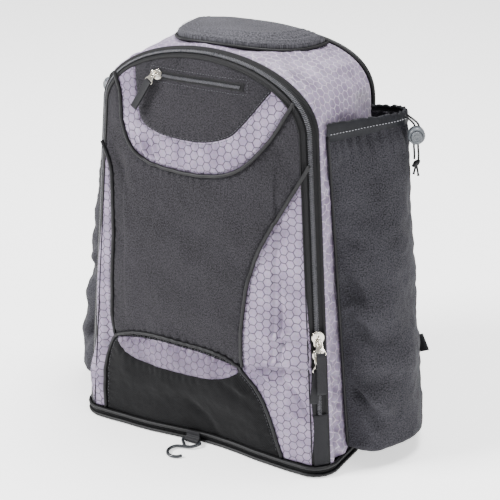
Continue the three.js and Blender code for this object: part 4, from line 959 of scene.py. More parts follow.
# main zip
zipBandLook = {"step": 3.4, "tooth": 2.0}
profile = np.array([(0, 0), (0.5, 1.1), (1.8, 1.7), (3.2, 1.5), (4.1, 0.4), (4.6, 0.1), (8, 0.2),
                    (11, 0.2),
                    (14, 0.2), (15, 0.2), (15.5, 1.1), (16.5, 1.5), (19, 1.5), (20.4, 1.3),
                    (20.9, 0.5),
                    (21.3, 0.4), (21.6, 1.1), (22, 1.4), (22.6, 1.2), (22.9, 0.3)])
s = zipStations(-1, 1, zipBandLook["step"])
ripple = 0.35 * np.sin(np.arange(len(s)) * 0.9) + 0.5 * cloudy(np.stack([s * 300, 0 * s], axis=1),
                                                               20, 2)
widthGrid, alongGrid = np.meshgrid(profile[:, 0] / body["bandWidth"], s)
lift = profile[:, 1][None, :] + ripple[:, None] * 0.3 * (profile[:, 0] > 14)[None, :]
points = zipBand(alongGrid, widthGrid, lift - 0.2)
piece = link(gridCloth(points.transpose(1, 0, 2), facing=(0, -1, 0)), "main_zip_tape_cloth",
             "tape",
             ["main_zip_tape"])
thicken(piece, 1.2)

toothSpots = zipStations(-0.93, 0.93, zipBandLook["tooth"])
bm = bmesh.new()
for row, (centre, lean) in enumerate(((10.1, 0.18), (12.1, -0.18))):
    where = toothSpots + row * (toothSpots[1] - toothSpots[0]) / 2
    middle = zipBand(where, centre / body["bandWidth"], 1.15)
    outer, inner = (zipBand(where, (centre + side) / body["bandWidth"], 1.15) for side in (-2, 2))
    ahead = unit(np.gradient(middle, axis=0))
    across = unit(inner - outer)
    out = np.cross(across, ahead)
    for m, a, c, o in zip(middle, ahead, across, out):
        basis = Matrix((Vector(c + a * lean) * 2.1, Vector(a) * 0.78,
                        Vector(o) * 0.95)).transposed().to_4x4()
        made = bmesh.ops.create_icosphere(bm, subdivisions=1, radius=1,
                                          matrix=Matrix.Translation(Vector(m)) @ basis)
        for vert in made["verts"]:
            vert.co *= mm
bmesh.ops.recalc_face_normals(bm, faces=bm.faces[:])
link(bm, "main_zip_coil", "coil", ["main_zip_chain"])

for node, start, end in (("zip_cover_right", 0.918, 0.999), ("zip_cover_left", -0.999, -0.918)):
    s = np.linspace(start, end, 24)
    coverProfile = np.array([(2, 0.2), (2.4, 1.6), (4, 2.0), (11, 2.2), (18, 2.0), (19.6, 1.6),
                             (20, 0.2)])
    widthGrid, alongGrid = np.meshgrid(coverProfile[:, 0] / body["bandWidth"], s)
    bulge = 0.5 * np.sin(np.linspace(0, 9, 24))[:, None] * np.ones(len(coverProfile))
    piece = link(gridCloth(zipBand(alongGrid, widthGrid,
                                   coverProfile[:, 1][None, :] + 0.3 * bulge).transpose(1, 0, 2),
                           facing=(0, -1, 0)), node + "_tape", "strip", [node])
    thicken(piece, 1.0)
print("main zip made")


# base
def baseOutline(inset, fine=10):
    points = []
    halfX = body["halfBase"] - inset
    baseFront = body["zipBase"] - bandSide[1] - body["crown"] * 0.08
    corners = [(1, baseFront + inset, 27 - inset, -90, 1), (1, 72 - inset, 14 - inset, 0, -1),
               (-1, 72 - inset, 14 - inset, 90, -1), (-1, baseFront + inset, 27 - inset, 180, 1)]
    for x, y, radius, start, sign in corners:
        for k in range(fine + 1):
            turn = math.radians(start + k * 90 / fine)
            points.append((x * (halfX - radius) + radius * math.cos(turn),
                           y + sign * radius + radius * math.sin(turn)))
    left, right = points[-1], points[0]
    for k in range(1, 60):
        x = mix(left[0], right[0], k / 60)
        points.append((x, baseFront + float(frontDent(np.float64(x), np.float64(0))) + inset))
    return np.array(points)


def baseRing(inset, z, count=420):
    outline = baseOutline(inset)
    line = evenly(np.concatenate([outline, outline[:1]]), count + 1)[:-1]
    return np.column_stack([line, np.full(count, z)])


def outwardRing(ring):
    ahead = np.roll(ring, -1, axis=0) - np.roll(ring, 1, axis=0)
    return unit(np.stack([ahead[:, 1], -ahead[:, 0], 0 * ahead[:, 0]], axis=1))


baseLook = {"pipes": ((3.1, "base_piping_lower"), (12.0, "base_piping_upper")), "rib": 1.5,
            "low": 2.4,
            "tall": 11.8, "swell": 1.6}
heights = baseLook["low"] + np.linspace(0, baseLook["tall"], 12)
swell = baseLook["swell"] * np.sin(np.pi * (heights - baseLook["low"]) / baseLook["tall"])
rows = []
for z, bulge in zip(heights, swell):
    ring = baseRing(0.0, z)
    wander = 0.5 * cloudy(ring, 20, 2)
    rows.append(ring + outwardRing(ring) * (bulge + wander)[:, None])
points = np.array(rows)
points = np.concatenate([points, points[:, :1]], axis=1)
link(gridCloth(points, wrap=True), "base_band_cloth", "oxfordDark", ["base_band"])
for z, node in baseLook["pipes"]:
    ring = baseRing(-2.2, z)
    ring[:, 2] += 0.35 * cloudy(ring, 24, 2)
    ribs = 2.1 + 0.16 * np.sin(np.arange(len(ring)) * 2 * np.pi / baseLook["rib"])
    bm = tubeMesh(ring, ribs, 12, closed=True, lift=(0, 0, 1))
    link(bm, node + "_cord", "binding", [node])
bm = bmesh.new()
outline = baseOutline(0.3)
made = [bm.verts.new(((x * mm, y * mm, 0.0))) for x, y in outline]
bm.faces.new(made)
bmesh.ops.recalc_face_normals(bm, faces=bm.faces[:])
lifted = bmesh.ops.extrude_face_region(bm, geom=bm.faces[:])
bmesh.ops.translate(bm, vec=(0, 0, 3.0 * mm), verts=[g
                                                     for g in lifted["geom"] if isinstance(g,
                                                                                           bmesh.types.BMVert)])
bmesh.ops.recalc_face_normals(bm, faces=bm.faces[:])
link(bm, "base_panel_cloth", "oxfordDark", ["base_panel"], flat=True)
print("base made")


# back panel: spacer mesh over foam, quilted into three pads
def backEdge(count):
    rise = body["backTop"] - body["shoulder"]
    return np.stack(archEdge(np.linspace(-1, 1, count), 0, rise, body["backPower"]), axis=1)


def placeBack(x, z):
    d = nearest(x, z, backEdge(200))[0]
    edge = np.clip(d / 16, 0, 1)
    channels = bell((np.abs(x) - 42) / 5) + bell((z - 150) / 5) * (np.abs(x) < 130) + bell((z
                                                                                            - 330) / 5)
    puff = 7.0 * (1 - (1 - edge) ** 2.5) - 4.0 * np.minimum(channels, 1.2) * edge
    return np.stack([x, 66.5 + puff + 0.6 * cloudy(np.stack([x, z], axis=-1), 30, 2), z], axis=-1)


backRim = backEdge(240)
bm = cutCloth((-172, 14.3), (172, 474), 4.0, lambda x, z: isInside(x, z, backRim),
              [backRim, np.array([backRim[0], backRim[-1]])], placeBack, (0, 1, 0))
backPiece = thicken(link(bm, "back_panel_mesh", "mesh", ["back_panel"]), 6)
rim = np.column_stack([backRim[:, 0], np.full(240, 65.0), backRim[:, 1]])
link(tubeMesh(evenly(rim, 200), 3.0, 10), "back_rim_binding", "binding")
print("back made")


# bat sleeves
sleeveLook = {"columns": 120, "rows": 150, "foot": 12,
              "wall": 1.6, "soft": 2.6, "crease": 0.8, "gathers": 15}
# place round and up, depth in millimetres, width, height and how much each dent slopes down
sleeveDents = [(0.17, 0.12, 5.5, 0.1, 0.035, 0.9), (0.12, 0.5, 5.0, 0.09, 0.04, 0.8),
               (0.55, 0.7, 2.2, 0.12, 0.1, 0),
               (0.3, 0.36, 3.2, 0.1, 0.06, 0.5), (0.1, 0.17, 3.6, 0.07, 0.02, 0.9),
               (0.13, 0.4, 5.5, 0.1, 0.028, 0.9),
               (0.1, 0.68, 3.0, 0.09, 0.03, 0.7), (0.36, 0.2, 2.5, 0.14, 0.05, 0.4)]


def sleeveRelief(u, z, seedShift):
    up = (z - sleeve["bottom"]) / (sleeve["top"] - sleeve["bottom"])
    at = np.stack([u * 190, z], axis=-1)
    total = sleeveLook["soft"] * cloudy(at, 58, 2, seedShift) + sleeveLook["crease"] * cloudy(at,
                                                                                              13,
                                                                                              3,
                                                                                              seedShift)
    for around, high, deep, wide, tall, slope in sleeveDents:
        low = up - high + slope * (u - around) * 0.5
        total -= deep * bell((u - around) / wide) * bell(low / tall)
        total += 0.5 * deep * bell((u - around) / wide) * bell((low - 1.7 * tall) / tall)
    slanted = np.sin(2 * np.pi * (z + 55 * u + 8 * np.sin(z / 37 + seedShift)) / 62)
    total += 1.3 * slanted * bell((u - 0.16) / 0.2)
    drawn = np.sin(2 * np.pi * sleeveLook["gathers"] * u + 2 * np.sin(9 * u))
    total += 1.2 * drawn * bell((z - sleeve["top"]) / 26) * smoothStep(0, 0.1, u)
    total -= 2.4 * bell((z - sleeve["top"]) / 15)
    return 1.6 * (total * np.minimum(1, np.sin(np.pi * u) * 5))


for handName, hand in (("right", 1), ("left", -1)):
    shares = np.linspace(0, 1, sleeveLook["columns"])
    rows = []
    for z in np.linspace(sleeve["top"], sleeve["bottom"], sleeveLook["rows"]):
        place, out = sleeveRing(z, shares)
        place = place + out * sleeveRelief(shares, np.full_like(shares, z), 1.7 + hand)[:, None]
        place[:, 0] = np.maximum(place[:, 0], sleeveWallX(z) + 0.1)
        rows.append(np.column_stack([place, np.full(len(place), z)]))
    rim = rows[-1]
    seam = mix(sleeve["seamFront"] + 9, sleeve["seamBack"] - 9, shares)
    for k in range(1, sleeveLook["foot"] + 1):
        under = k / sleeveLook["foot"]
        sag = 9 * math.sin(math.pi * (0.35 + 0.4 * under)) * (1 - 0.25 * (1 - under))
        z = sleeve["bottom"] - sag * min(1, under * 3) ** 0.6
        curl = under ** 1.6
        rows.append(np.column_stack([mix(rim[:, 0], float(sleeveWallX(z)), curl),
                                     mix(rim[:, 1], seam, curl),
                                     np.full(len(rim), z)]))
    points = np.array(rows) * np.array([hand, 1, 1])
    piece = link(gridCloth(points, facing=(hand, 0, 0)), f"sleeve_{handName}_cloth", "sleeve",
                 [f"sleeve_{handName}"])
    thicken(piece, sleeveLook["wall"])

    # hem: coated nylon folded over the drawcord
    shares = np.linspace(0, 1, sleeveLook["columns"] * 2)
    ends = np.sin(np.pi * shares)
    rows = []
    steps = [(-0.45, -0.3), (0.0, 0.0), (0.08, -0.9), (0.3, -1.2), (0.6, -1.3), (0.85, -1.0),
             (0.97, -0.3), (1.0, 0.7),
             (0.96, 1.8), (0.8, 2.4), (0.5, 2.5)]
    for high, inward in steps:
        gather = smoothStep(0.3, 0.6, shares)
        uneven = cloudy(np.stack([shares * 200, 0 * shares + 11 * high], axis=-1), 9, 3, 2.0)
        wave = (mix(0.5, 2.0, gather) * np.sin(2 * np.pi * 19 * shares + 2.6 * np.sin(11 * shares))
                + 2.2 * uneven) * (0.25 + high) * ends
        place, out = sleeveRing(sleeve["top"], shares, 2.5 * high * ends + inward + wave * 0.5)
        z = 396.4 + 15 * high - 9 * shares * high + (0.7 * gather
                                                     * np.sin(2 * np.pi * 19 * shares + 1)
                                                     + 1.6 * uneven) * high
        rows.append(np.column_stack([place, z]))
    points = np.array(rows) * np.array([hand, 1, 1])
    piece = link(gridCloth(points, facing=(hand, 0, 0)), f"sleeve_hem_{handName}_nylon", "nylon",
                 [f"sleeve_hem_{handName}"])
    thicken(piece, 0.9)
    place, out = sleeveRing(sleeve["top"], np.linspace(0.02, 0.98, 120), -1.7)
    lower = np.column_stack([place, np.full(120, 399.0)]) * np.array([hand, 1, 1])
    outs = np.column_stack([out, np.zeros(120)]) * np.array([hand, 1, 1])
    link(stitches([(lower, outs)], 0.4, 2.6, 1.3), f"sleeve_hem_stitch_{handName}", "paleThread")
    heights = np.linspace(sleeve["bottom"] - 3, sleeve["top"], 70)
    for end, share in (("front", 0.012), ("back", 0.988)):
        line = []
        for z in heights:
            place, out = sleeveRing(z, [share])
            line.append((hand * (place[0, 0] + 0.4),
                         place[0, 1] + (-1.0 if end == "front" else 1.0), z))
        link(tubeMesh(np.array(line), 1.5, 8), f"sleeve_{end}_binding_{handName}", "binding")
print("sleeves made")


# small hard pieces
def frameOf(origin, x, y, z):
    return Matrix.Translation(Vector(origin)) @ Matrix((x, y, z)).transposed().to_4x4()


def place(bm, matrix, scale=1.0):  # from a piece's own millimetres to the row frame in metres
    turned = matrix @ Matrix.Scale(scale, 4)
    for vert in bm.verts:
        vert.co = (turned @ vert.co) * mm
    bmesh.ops.recalc_face_normals(bm, faces=bm.faces[:])
    return bm


def plate(outline, low, high, bevel=0.3, holes=(), segments=2):
    bm = bmesh.new()
    loops = []
    for ring in [outline, *holes]:
        verts = [bm.verts.new((x, y, low)) for x, y in ring]
        loops += [bm.edges.new((a, b)) for a, b in zip(verts, verts[1:] + verts[:1])]
    if holes:
        bmesh.ops.triangle_fill(bm, use_beauty=True, use_dissolve=True, edges=loops)
        bmesh.ops.dissolve_limit(bm, angle_limit=0.01, verts=bm.verts[:], edges=bm.edges[:])
    else:
        bm.faces.new(bm.verts[:])
    up = bmesh.ops.extrude_face_region(bm, geom=bm.faces[:])["geom"]
    bmesh.ops.translate(bm, vec=(0, 0, high - low),
                        verts=[g for g in up if isinstance(g, bmesh.types.BMVert)])
    bmesh.ops.recalc_face_normals(bm, faces=bm.faces[:])
    bm.normal_update()
    sharp = [e for e in bm.edges if e.is_manifold and e.calc_face_angle(0) > 0.6]
    if bevel:
        bmesh.ops.bevel(bm, geom=sharp, offset=bevel, segments=segments, profile=0.5,
                        affect="EDGES",
                        material=-1, clamp_overlap=True)
    return bm


def roundedBox(halfX, halfY, corner, fine=5):
    points = []
    for sx, sy, start in ((1, -1, -90), (1, 1, 0), (-1, 1, 90), (-1, -1, 180)):
        for k in range(fine + 1):
            turn = math.radians(start + 90 * k / fine)
            points.append((sx * (halfX - corner) + corner * math.cos(turn),
                           sy * (halfY - corner) + corner * math.sin(turn)))
    return points


def lathe(profile, count=32):  # (radius, height) spun about Z
    bm = bmesh.new()
    verts = [bm.verts.new((r, 0, z)) for r, z in profile]
    edges = [bm.edges.new(pair) for pair in zip(verts, verts[1:])]
    bmesh.ops.spin(bm, geom=verts + edges, axis=(0, 0, 1), cent=(0, 0, 0), angle=2 * math.pi,
                   steps=count,
                   use_duplicate=False)
    bmesh.ops.remove_doubles(bm, verts=bm.verts[:], dist=1e-3)
    bmesh.ops.recalc_face_normals(bm, faces=bm.faces[:])
    return bm


def wireOn(route, radius, sides=12, lift=None, closed=False):
    bm = tubeMesh(curveThrough(route, closed, 12), radius, sides, closed, lift=lift)
    for vert in bm.verts:
        vert.co /= mm
    return bm


# sliders, pulls and ribbons
zipParts = {"length": 17, "width": 14, "height": 3.4, "wire": 1.0, "bailHigh": 4.6,
            "bailReach": 3.6,
            "pull": 17, "ribbon": 46, "ribbonLower": 37, "ribbonWide": 10, "leaf": 1.0}
zipFrame = (((151.514, -89.137, 171.225), (153.036, -90.405, 150.225)),
            (0.7071, 0.7071, 0), (-0.0662, 0.0662, 0.9956), (0.704, -0.704, 0.0936))


def sliderShape():
    w, l = zipParts["width"] / 2, zipParts["length"] / 2
    outline = curveThrough([(-4.3, -l), (4.3, -l), (5.2, -l * 0.45), (w, 0), (w * 0.98, l * 0.5),
                            (w * 0.62, l * 0.93),
                            (0, l), (-w * 0.62, l * 0.93), (-w * 0.98, l * 0.5), (-w, 0),
                            (-5.2, -l * 0.45)],
                           True, 4)
    top = plate([tuple(p) for p in outline], 2.1, 3.4, 0.45, segments=3)
    foot = plate([tuple(p * 0.98) for p in outline], 0.0, 1.0, 0.3)
    neck = plate(roundedBox(1.6, l * 0.55, 1.2), 0.8, 2.4, 0)
    flanges = [plate([(s * 5.6, -l * 0.2), (s * w * 0.97, 0.5), (s * w * 0.9, l * 0.55),
                      (s * 5.4, l * 0.7)],
                     1.0, 2.3, 0.2) for s in (-1, 1)]
    seat, reach, high = (zipParts[k] for k in ("height", "bailReach", "bailHigh"))
    bail = wireOn([(0, reach, seat - 0.8), (0, reach, seat + high * 0.6),
                   (0, reach * 0.6, seat + high),
                   (0, -reach * 0.6, seat + high), (0, -reach, seat + high * 0.6),
                   (0, -reach, seat - 0.8)], zipParts["wire"],
                  lift=(1, 0, 0))
    feet = [place(lathe([(0, 0), (1.9, 0), (1.7, 0.7), (1.2, 1.0), (0, 1.0)], 16),
                   Matrix.Translation((0, s * reach, 3.3)), 1.0) for s in (-1, 1)]
    for bump in feet:
        for vert in bump.verts:
            vert.co /= mm
    return joined([top, foot, neck, *flanges, bail, *feet])


def pullShape():
    long = zipParts["pull"]
    outline = curveThrough([(-2.4, 1.1), (2.4, 1.1), (3.7, 0), (4.0, -long * 0.42),
                            (5.4, -long * 0.66),
                            (6.7, -long * 0.82), (6.3, -long * 0.985), (0, -long),
                            (-6.3, -long * 0.985),
                            (-6.7, -long * 0.82), (-5.4, -long * 0.66), (-4.0, -long * 0.42),
                            (-3.7, 0)], True, 4)
    eye = [(2.3 * math.cos(t), -3.3 + 2.6 * math.sin(t)) for t in np.linspace(0, 2 * np.pi,
                                                                              17)[:-1]]
    slot = [(x, y - long + 2.7) for x, y in roundedBox(5.5, 1.6, 0.9, 3)]
    return plate([tuple(p) for p in outline], -0.7, 0.7, 0.28, [eye, slot], 2)


def ribbonShape(length, bend, splay=0.0):
    # one tape folded through the slot, its leaves meeting below it and open at the cut end
    turn = math.radians(bend)
    long = zipParts["pull"]
    leafGap = zipParts["leaf"] * 0.62

    def down(distance, off):
        return np.array((0, -long - distance * math.cos(turn), off + distance * math.sin(turn)))

    near = [down(length, leafGap + splay), down(length * 0.6, leafGap + splay * 0.35),
            down(length * 0.3, leafGap),
            down(4, 1.2), down(0.8, 1.55), np.array((0, -long + 1.7, 1.35)),
            np.array((0, -long + 2.5, 0))]
    far = [np.array((0, -long + 1.7, -1.35)), down(0.8, -1.55), down(4, -1.2),
           down(length * 0.3, -leafGap),
           down(length * 0.6, -leafGap - splay * 0.35), down(length * 1.03, -leafGap - splay)]
    line = curveThrough(near + far, fine=8)
    wide = zipParts["ribbonWide"] / 2
    edge = np.array([-1, -0.93, -0.5, 0, 0.5, 0.93, 1]) * wide
    grid = np.repeat(line[:, None], len(edge), axis=1)
    grid[..., 0] += edge
    ahead = unit(np.gradient(line, axis=0))
    out = np.cross(np.array((1.0, 0, 0)), ahead)
    grid += (out[:, None] * (0.22 * (np.abs(edge) > 4.3) - 0.12 * (np.abs(edge) < 3))[None, :,
                                                                                      None])
    bm = gridCloth(grid.transpose(1, 0, 2))
    bmesh.ops.solidify(bm, geom=bm.faces[:], thickness=0.75 * mm)
    for vert in bm.verts:
        vert.co /= mm
    return bm


pulls = {
    "main_{}_upper": ((155.382, -93.004, 170.734), (0.7071, 0.7071, 0), (-0.3251, 0.3251, 0.8881),
                      (0.628, -0.628, 0.4597), zipParts["ribbon"], -22, "pull_upper", 1.0, 0.4),
    "main_{}_lower": ((157.194, -93.988, 149.702), (0.7088, 0.6881, -0.1557),
                      (0.0453, 0.176, 0.9834),
                      (0.704, -0.704, 0.0936), zipParts["ribbonLower"], 0, "pull_lower", 1.0, 0.0),
    "pocket_{}": ((-52.387, -91.985, 452.524), (0.8626, -0.1402, -0.4861),
                  (0.5016, 0.1389, 0.8539),
                  (-0.0563, -0.9793, 0.1944), zipParts["ribbon"], 0, "pull_pocket", 0.78, 0.3),
}
sliderFrames = {"main_slider_upper": (frameOf(zipFrame[0][0], *zipFrame[1:]), 1.0),
                "main_slider_lower": (frameOf(zipFrame[0][1], *zipFrame[1:]), 1.0),
                "pocket_slider": (frameOf((-50.37, -88.30, 450), (-0.0018, -0.1895, -0.9776),
                                          (0.9942, -0.0521, 0.0047), (-0.056, -0.976, 0.1937)),
                                          0.78)}
for node, (matrix, scale) in sliderFrames.items():
    link(place(sliderShape(), matrix, scale), node + "_zinc", "zinc", [node])
for name, (at, x, y, z, length, bend, bodyName, scale, splay) in pulls.items():
    matrix = frameOf(at, x, y, z)
    link(place(pullShape(), matrix, scale), name.format("pull") + "_zinc", "zinc",
         [name.format("pull")], bodyName)
    piece = link(place(ribbonShape(length, bend, splay), matrix, scale),
                 name.format("ribbon") + "_tape",
                 "ribbon", [name.format("ribbon")], bodyName)
print("sliders and pulls made")


# small zip of the front pocket, with a topstitched box round it
pocketZip = {"middle": 2, "half": 59, "height": 450, "wide": 9.0, "tooth": 1.6}
x = pocketZip["middle"] + np.linspace(-pocketZip["half"], pocketZip["half"], 90)
profile = np.array([(-1, 0.1), (-0.9, 0.5), (-0.6, 0.55), (-0.3, 0.3), (0, 0.3), (0.3, 0.3),
                    (0.6, 0.55), (0.9, 0.5), (1, 0.1)])
placeGrid, acrossGrid = np.meshgrid(x, profile[:, 0])
heightGrid = pocketZip["height"] + acrossGrid * pocketZip["wide"] / 2 + 0.3 * np.sin(placeGrid / 17)
points = placeFront(placeGrid.ravel(), heightGrid.ravel()).reshape(*placeGrid.shape, 3)
points[..., 1] -= np.repeat(profile[:, 1][:, None], len(x), axis=1) + 0.15
piece = link(gridCloth(points, facing=(0, -1, 0)), "pocket_zip_tape", "tape",
             ["pocket_zip"])
thicken(piece, 0.8)
bm = bmesh.new()
count = int(2 * pocketZip["half"] / pocketZip["tooth"]) - 8
for row in (-1, 1):
    for k in range(count):
        px = pocketZip["middle"] - pocketZip["half"] + 10 + k * pocketZip["tooth"] + (row > 0) * 0.8
        pz = pocketZip["height"] + row * 0.75 + 0.3 * math.sin(px / 17)
        spot = placeFront(np.array([px]), np.array([pz]), 1.3)[0]
        basis = Matrix.Translation(Vector(spot)) @ Matrix.Diagonal((0.6, 0.7, 1.25, 1))
        for vert in bmesh.ops.create_icosphere(bm, subdivisions=1, radius=1,
                                               matrix=basis)["verts"]:
            vert.co *= mm
link(bm, "pocket_zip_coil", "coil")
box = roundedBox(pocketZip["half"] + 4, 8, 2, 2)
box = np.array(box + box[:1]) + np.array((pocketZip["middle"], pocketZip["height"]))
box = evenly(box, 200)
link(stitches([(placeFront(box[:, 0], box[:, 1], 0.2), frontOut(box[:, 0], box[:, 1]))], 0.32,
              2.4, 1.1),
     "pocket_zip_stitch", "thread")
print("pocket zip made")


# cord locks: a moulded barrel with its button, and the cord's knot below
for handName, hand in (("right", 1), ("left", -1)):
    facing, side = Vector((0.498 * hand, -0.867, 0)), Vector((0.867, 0.498 * hand, 0))
    centre = Vector((206.711 * hand, 40.640, 380.481))
    matrix = frameOf(centre, side, (0, 0, 1), facing)
    profile = [(0, -7.5), (6.6, -7.5), (7.6, -7.2), (9.2, -5.0), (9.8, -3.6), (9.8, 4.0),
               (9.55, 5.2), (8.9, 6.4),
               (8.3, 6.9), (7.6, 7.2), (7.1, 7.2), (6.85, 6.9), (6.8, 1.6), (0, 1.6)]
    lock = lathe(profile, 40)
    holes = [lathe([(2.1, -0.5), (2.3, 0.4), (1.5, 0.9), (1.35, 0.2), (1.35, -0.5)],
                   16) for k in range(4)]
    for k, hole in enumerate(holes):
        shift = Vector(((1 if k % 2 else -1) * 2.3, (1 if k > 1 else -1) * 9.6, 0))
        turn = Matrix.Rotation(math.radians(-90 if k > 1 else 90), 4, "X")
        for vert in hole.verts:
            vert.co = turn @ vert.co + shift
    link(place(joined([lock, *holes]), matrix), f"cord_lock_{handName}_moulding", "lock",
         [f"cord_lock_{handName}"])
    profile = [(0, 5.5), (6.3, 5.5), (6.4, 6.2), (6.4, 8.6), (6.1, 9.25), (5.6, 9.5), (4.6, 9.55),
               (4.3, 9.2),
               (3.7, 9.15), (3.4, 9.5), (2.4, 9.55), (2.1, 9.2), (0, 9.15)]
    link(place(lathe(profile, 40), matrix), f"cord_plunger_{handName}_moulding", "lock",
         [f"cord_plunger_{handName}"], f"plunger_{handName}")
    knot = Vector((207.711 * hand, 40.640, 347.481))
    turns = np.linspace(0, 4 * np.pi, 60)
    loops = np.stack([3.1 * np.cos(turns) * side.x + 0.6 * np.sin(turns / 2),
                      3.1 * np.cos(turns) * side.y
                      + 2.4 * np.sin(turns) * facing.y * -1,
                      2.1 * np.sin(turns + 0.7) + 1.3 * np.sin(turns / 2)], axis=1)
    parts = [tubeMesh(loops + np.array(knot), 1.25, 10, lift=(0.3, 0.2, 1))]
    core = bmesh.new()
    bmesh.ops.create_icosphere(core, subdivisions=3, radius=1,
                               matrix=Matrix.Translation(knot
                                                         * mm) @ Matrix.Diagonal((3.6 * mm,
                                                                                  3.2 * mm,
                                                                                  3.3 * mm, 1)))
    parts.append(core)
    for way in (1, -1):
        end = Vector((0, 0, -14 - way)) + side * (way * 4.6 * 0.6)
        tail = curveThrough([np.array(knot), np.array(knot + end * 0.5 + facing * 0.6),
                             np.array(knot + end)], fine=12)
        parts.append(tubeMesh(tail, 1.2 + 0.35 * smoothStep(0.85, 1.0,
                                                            np.linspace(0, 1, len(tail))), 10,
                              lift=(0, 1, 0)))
    link(joined(parts), f"cord_knot_{handName}_braid", "cord", [f"cord_knot_{handName}"])
print("cord locks made")


# handle: padded half-moon on a bound patch
handle = {"half": 90, "middle": -1, "front": -50, "back": 54, "power": 2.2,
          "ridges": (9, 15, 21), "step": 1.7}


def moon(grow, count=200):
    across = np.linspace(-1, 1, count)
    across = np.sin(np.pi / 2 * across)
    span = handle["back"] - handle["front"] + 2 * grow
    y = handle["back"] + grow - span * (1
                                        - np.abs(across) ** handle["power"]) ** (1 / handle["power"])
    x = handle["middle"] + across * (handle["half"] + grow) * 0.99
    return np.stack([x, y], axis=1)


def moonCloth(grow, foot, height, steep, ridges, name, finish, node, flatEdge=0.0):
    rim = moon(grow)
    back = np.array([rim[0], rim[-1]])
    whole = np.concatenate([rim, rim[:1]])

    def lifted(x, y):
        d = nearest(x, y, whole)[0]
        toFront = nearest(x, y, rim)[0]
        edge = np.clip(d / steep, 0, 1)
        top = foot + flatEdge + (height - flatEdge) * (1 - (1 - edge) ** 2.6) ** 0.6
        for ridge in ridges:
            top = top - 1.7 * bell((toFront - ridge) / 1.3)
            top = top + 0.7 * bell((toFront - ridge - 3) / 2.2)
        at = np.stack([x, y], axis=-1)
        top = top + (0.7 * cloudy(at, 40, 2, 4.0) + 0.25 * cloudy(at, 11, 3, 1.0)) * edge
        return np.stack([x, y, topSurface(x, y) + top], axis=-1)

    bm = cutCloth((-94, -54), (92, 58), handle["step"], lambda x, y: isInside(x, y, whole),
                  [rim, back],
                  lifted, (0, 0, 1))
    edges = [e for e in bm.edges if e.is_boundary]
    skirt = bmesh.ops.extrude_edge_only(bm, edges=edges)["geom"]
    for vert in [g for g in skirt if isinstance(g, bmesh.types.BMVert)]:
        x, y = vert.co.x / mm, vert.co.y / mm
        vert.co.z = (float(topSurface(np.float64(x), np.float64(y))) + foot - 0.3) * mm
    bmesh.ops.recalc_face_normals(bm, faces=bm.faces[:])
    return link(bm, name, finish, [node])


moonCloth(0, 0.4, 3.2, 5, (), "handle_patch_cloth", "oxfordDark", "handle_patch",
          2.0)
pad = moonCloth(-2, 3.8, 8.0, 17, handle["ridges"], "handle_pad_cloth", "handle",
                "handle_pad", 2.5)
rim = moon(0.2, 160)
line = np.column_stack([rim, topSurface(rim[:, 0], rim[:, 1]) + 2.4])
link(tubeMesh(line, 1.7, 12, lift=(0, 0, 1)), "handle_patch_binding", "binding")


def moonStitch(grow, height):
    rim = moon(grow, 260)[8:-8]
    line = np.column_stack([rim, topSurface(rim[:, 0], rim[:, 1]) + height])
    return line, np.tile((0.0, 0.0, 1.0), (len(line), 1))


link(stitches([moonStitch(-8, 10.9), moonStitch(-2.6, 7.9)], 0.36, 3.0, 1.1), "handle_topstitch",
     "thread")
print("handle made")


# hook on its tab, laid forward on the floor
hookLook = {"wire": 2.0, "eye": 12.0, "long": 41, "bend": 11.5,
            "at": (-8, -108.406, 4.2)}
half, bendR = hookLook["eye"], hookLook["bend"]
bendX, bendY = -half * 0.35, -hookLook["long"] + bendR + hookLook["wire"]
route = [(-half * 0.25, -13, 0), (-half, -2, 0), (-half * 0.8, 0, 0), (0, 0, 0),
         (half * 0.8, 0, 0),
         (half, -2.8, 0), (half * 0.45, -12.35, 0), (bendX, bendY + bendR * 1.02, 0)]
route += [(bendX + bendR * math.cos(math.radians(90 + 35 * k)),
           bendY + bendR * math.sin(math.radians(90 + 35 * k)), 0)
          for k in range(1, 8)]
line = evenly(curveThrough(route, fine=16), 200)
radii = hookLook["wire"] * (1 - 0.75 * smoothStep(0.988, 1.0, np.linspace(0, 1, 200)) ** 2)
bm = tubeMesh(line, radii, 18, lift=(0, 0, 1))
for vert in bm.verts:
    vert.co /= mm
hookFrame = frameOf(hookLook["at"], (1, 0, 0), (0, 0.99862, 0.05244), (0, -0.05244, 0.99862))
link(place(bm, hookFrame), "fence_hook_wire", "wire", ["fence_hook"], "hook")

arc = [(2.95 * math.cos(math.radians(t)), 2.95 * math.sin(math.radians(t))) for t in range(98,
                                                                                           361,
                                                                                           12)]
loop = [(2.1, 11.6), (1.9, 7.0)] + arc + [(3.15, 6.0), (3.1, 11.8)]
profile = curveThrough(loop, fine=6)
across = np.array([-9, -8.7, -5, 0, 5, 8.7, 9])
tabX, tabY, tabZ = hookLook["at"]
grid = np.array([[(tabX + a, tabY + y, tabZ + z) for a in across] for y, z in profile])
bm = gridCloth(grid.transpose(1, 0, 2))
bmesh.ops.solidify(bm, geom=bm.faces[:], thickness=1.1 * mm)
bmesh.ops.recalc_face_normals(bm, faces=bm.faces[:])
link(bm, "hook_tab_webbing", "webbing", ["hook_tab"])
print("hook made")


# the shoulder straps are blown up a little as cloth, so that their faces crease
softSim = {"voxel": 5.0, "pressure": 4.0, "frames": 20, "cap": 2.5}


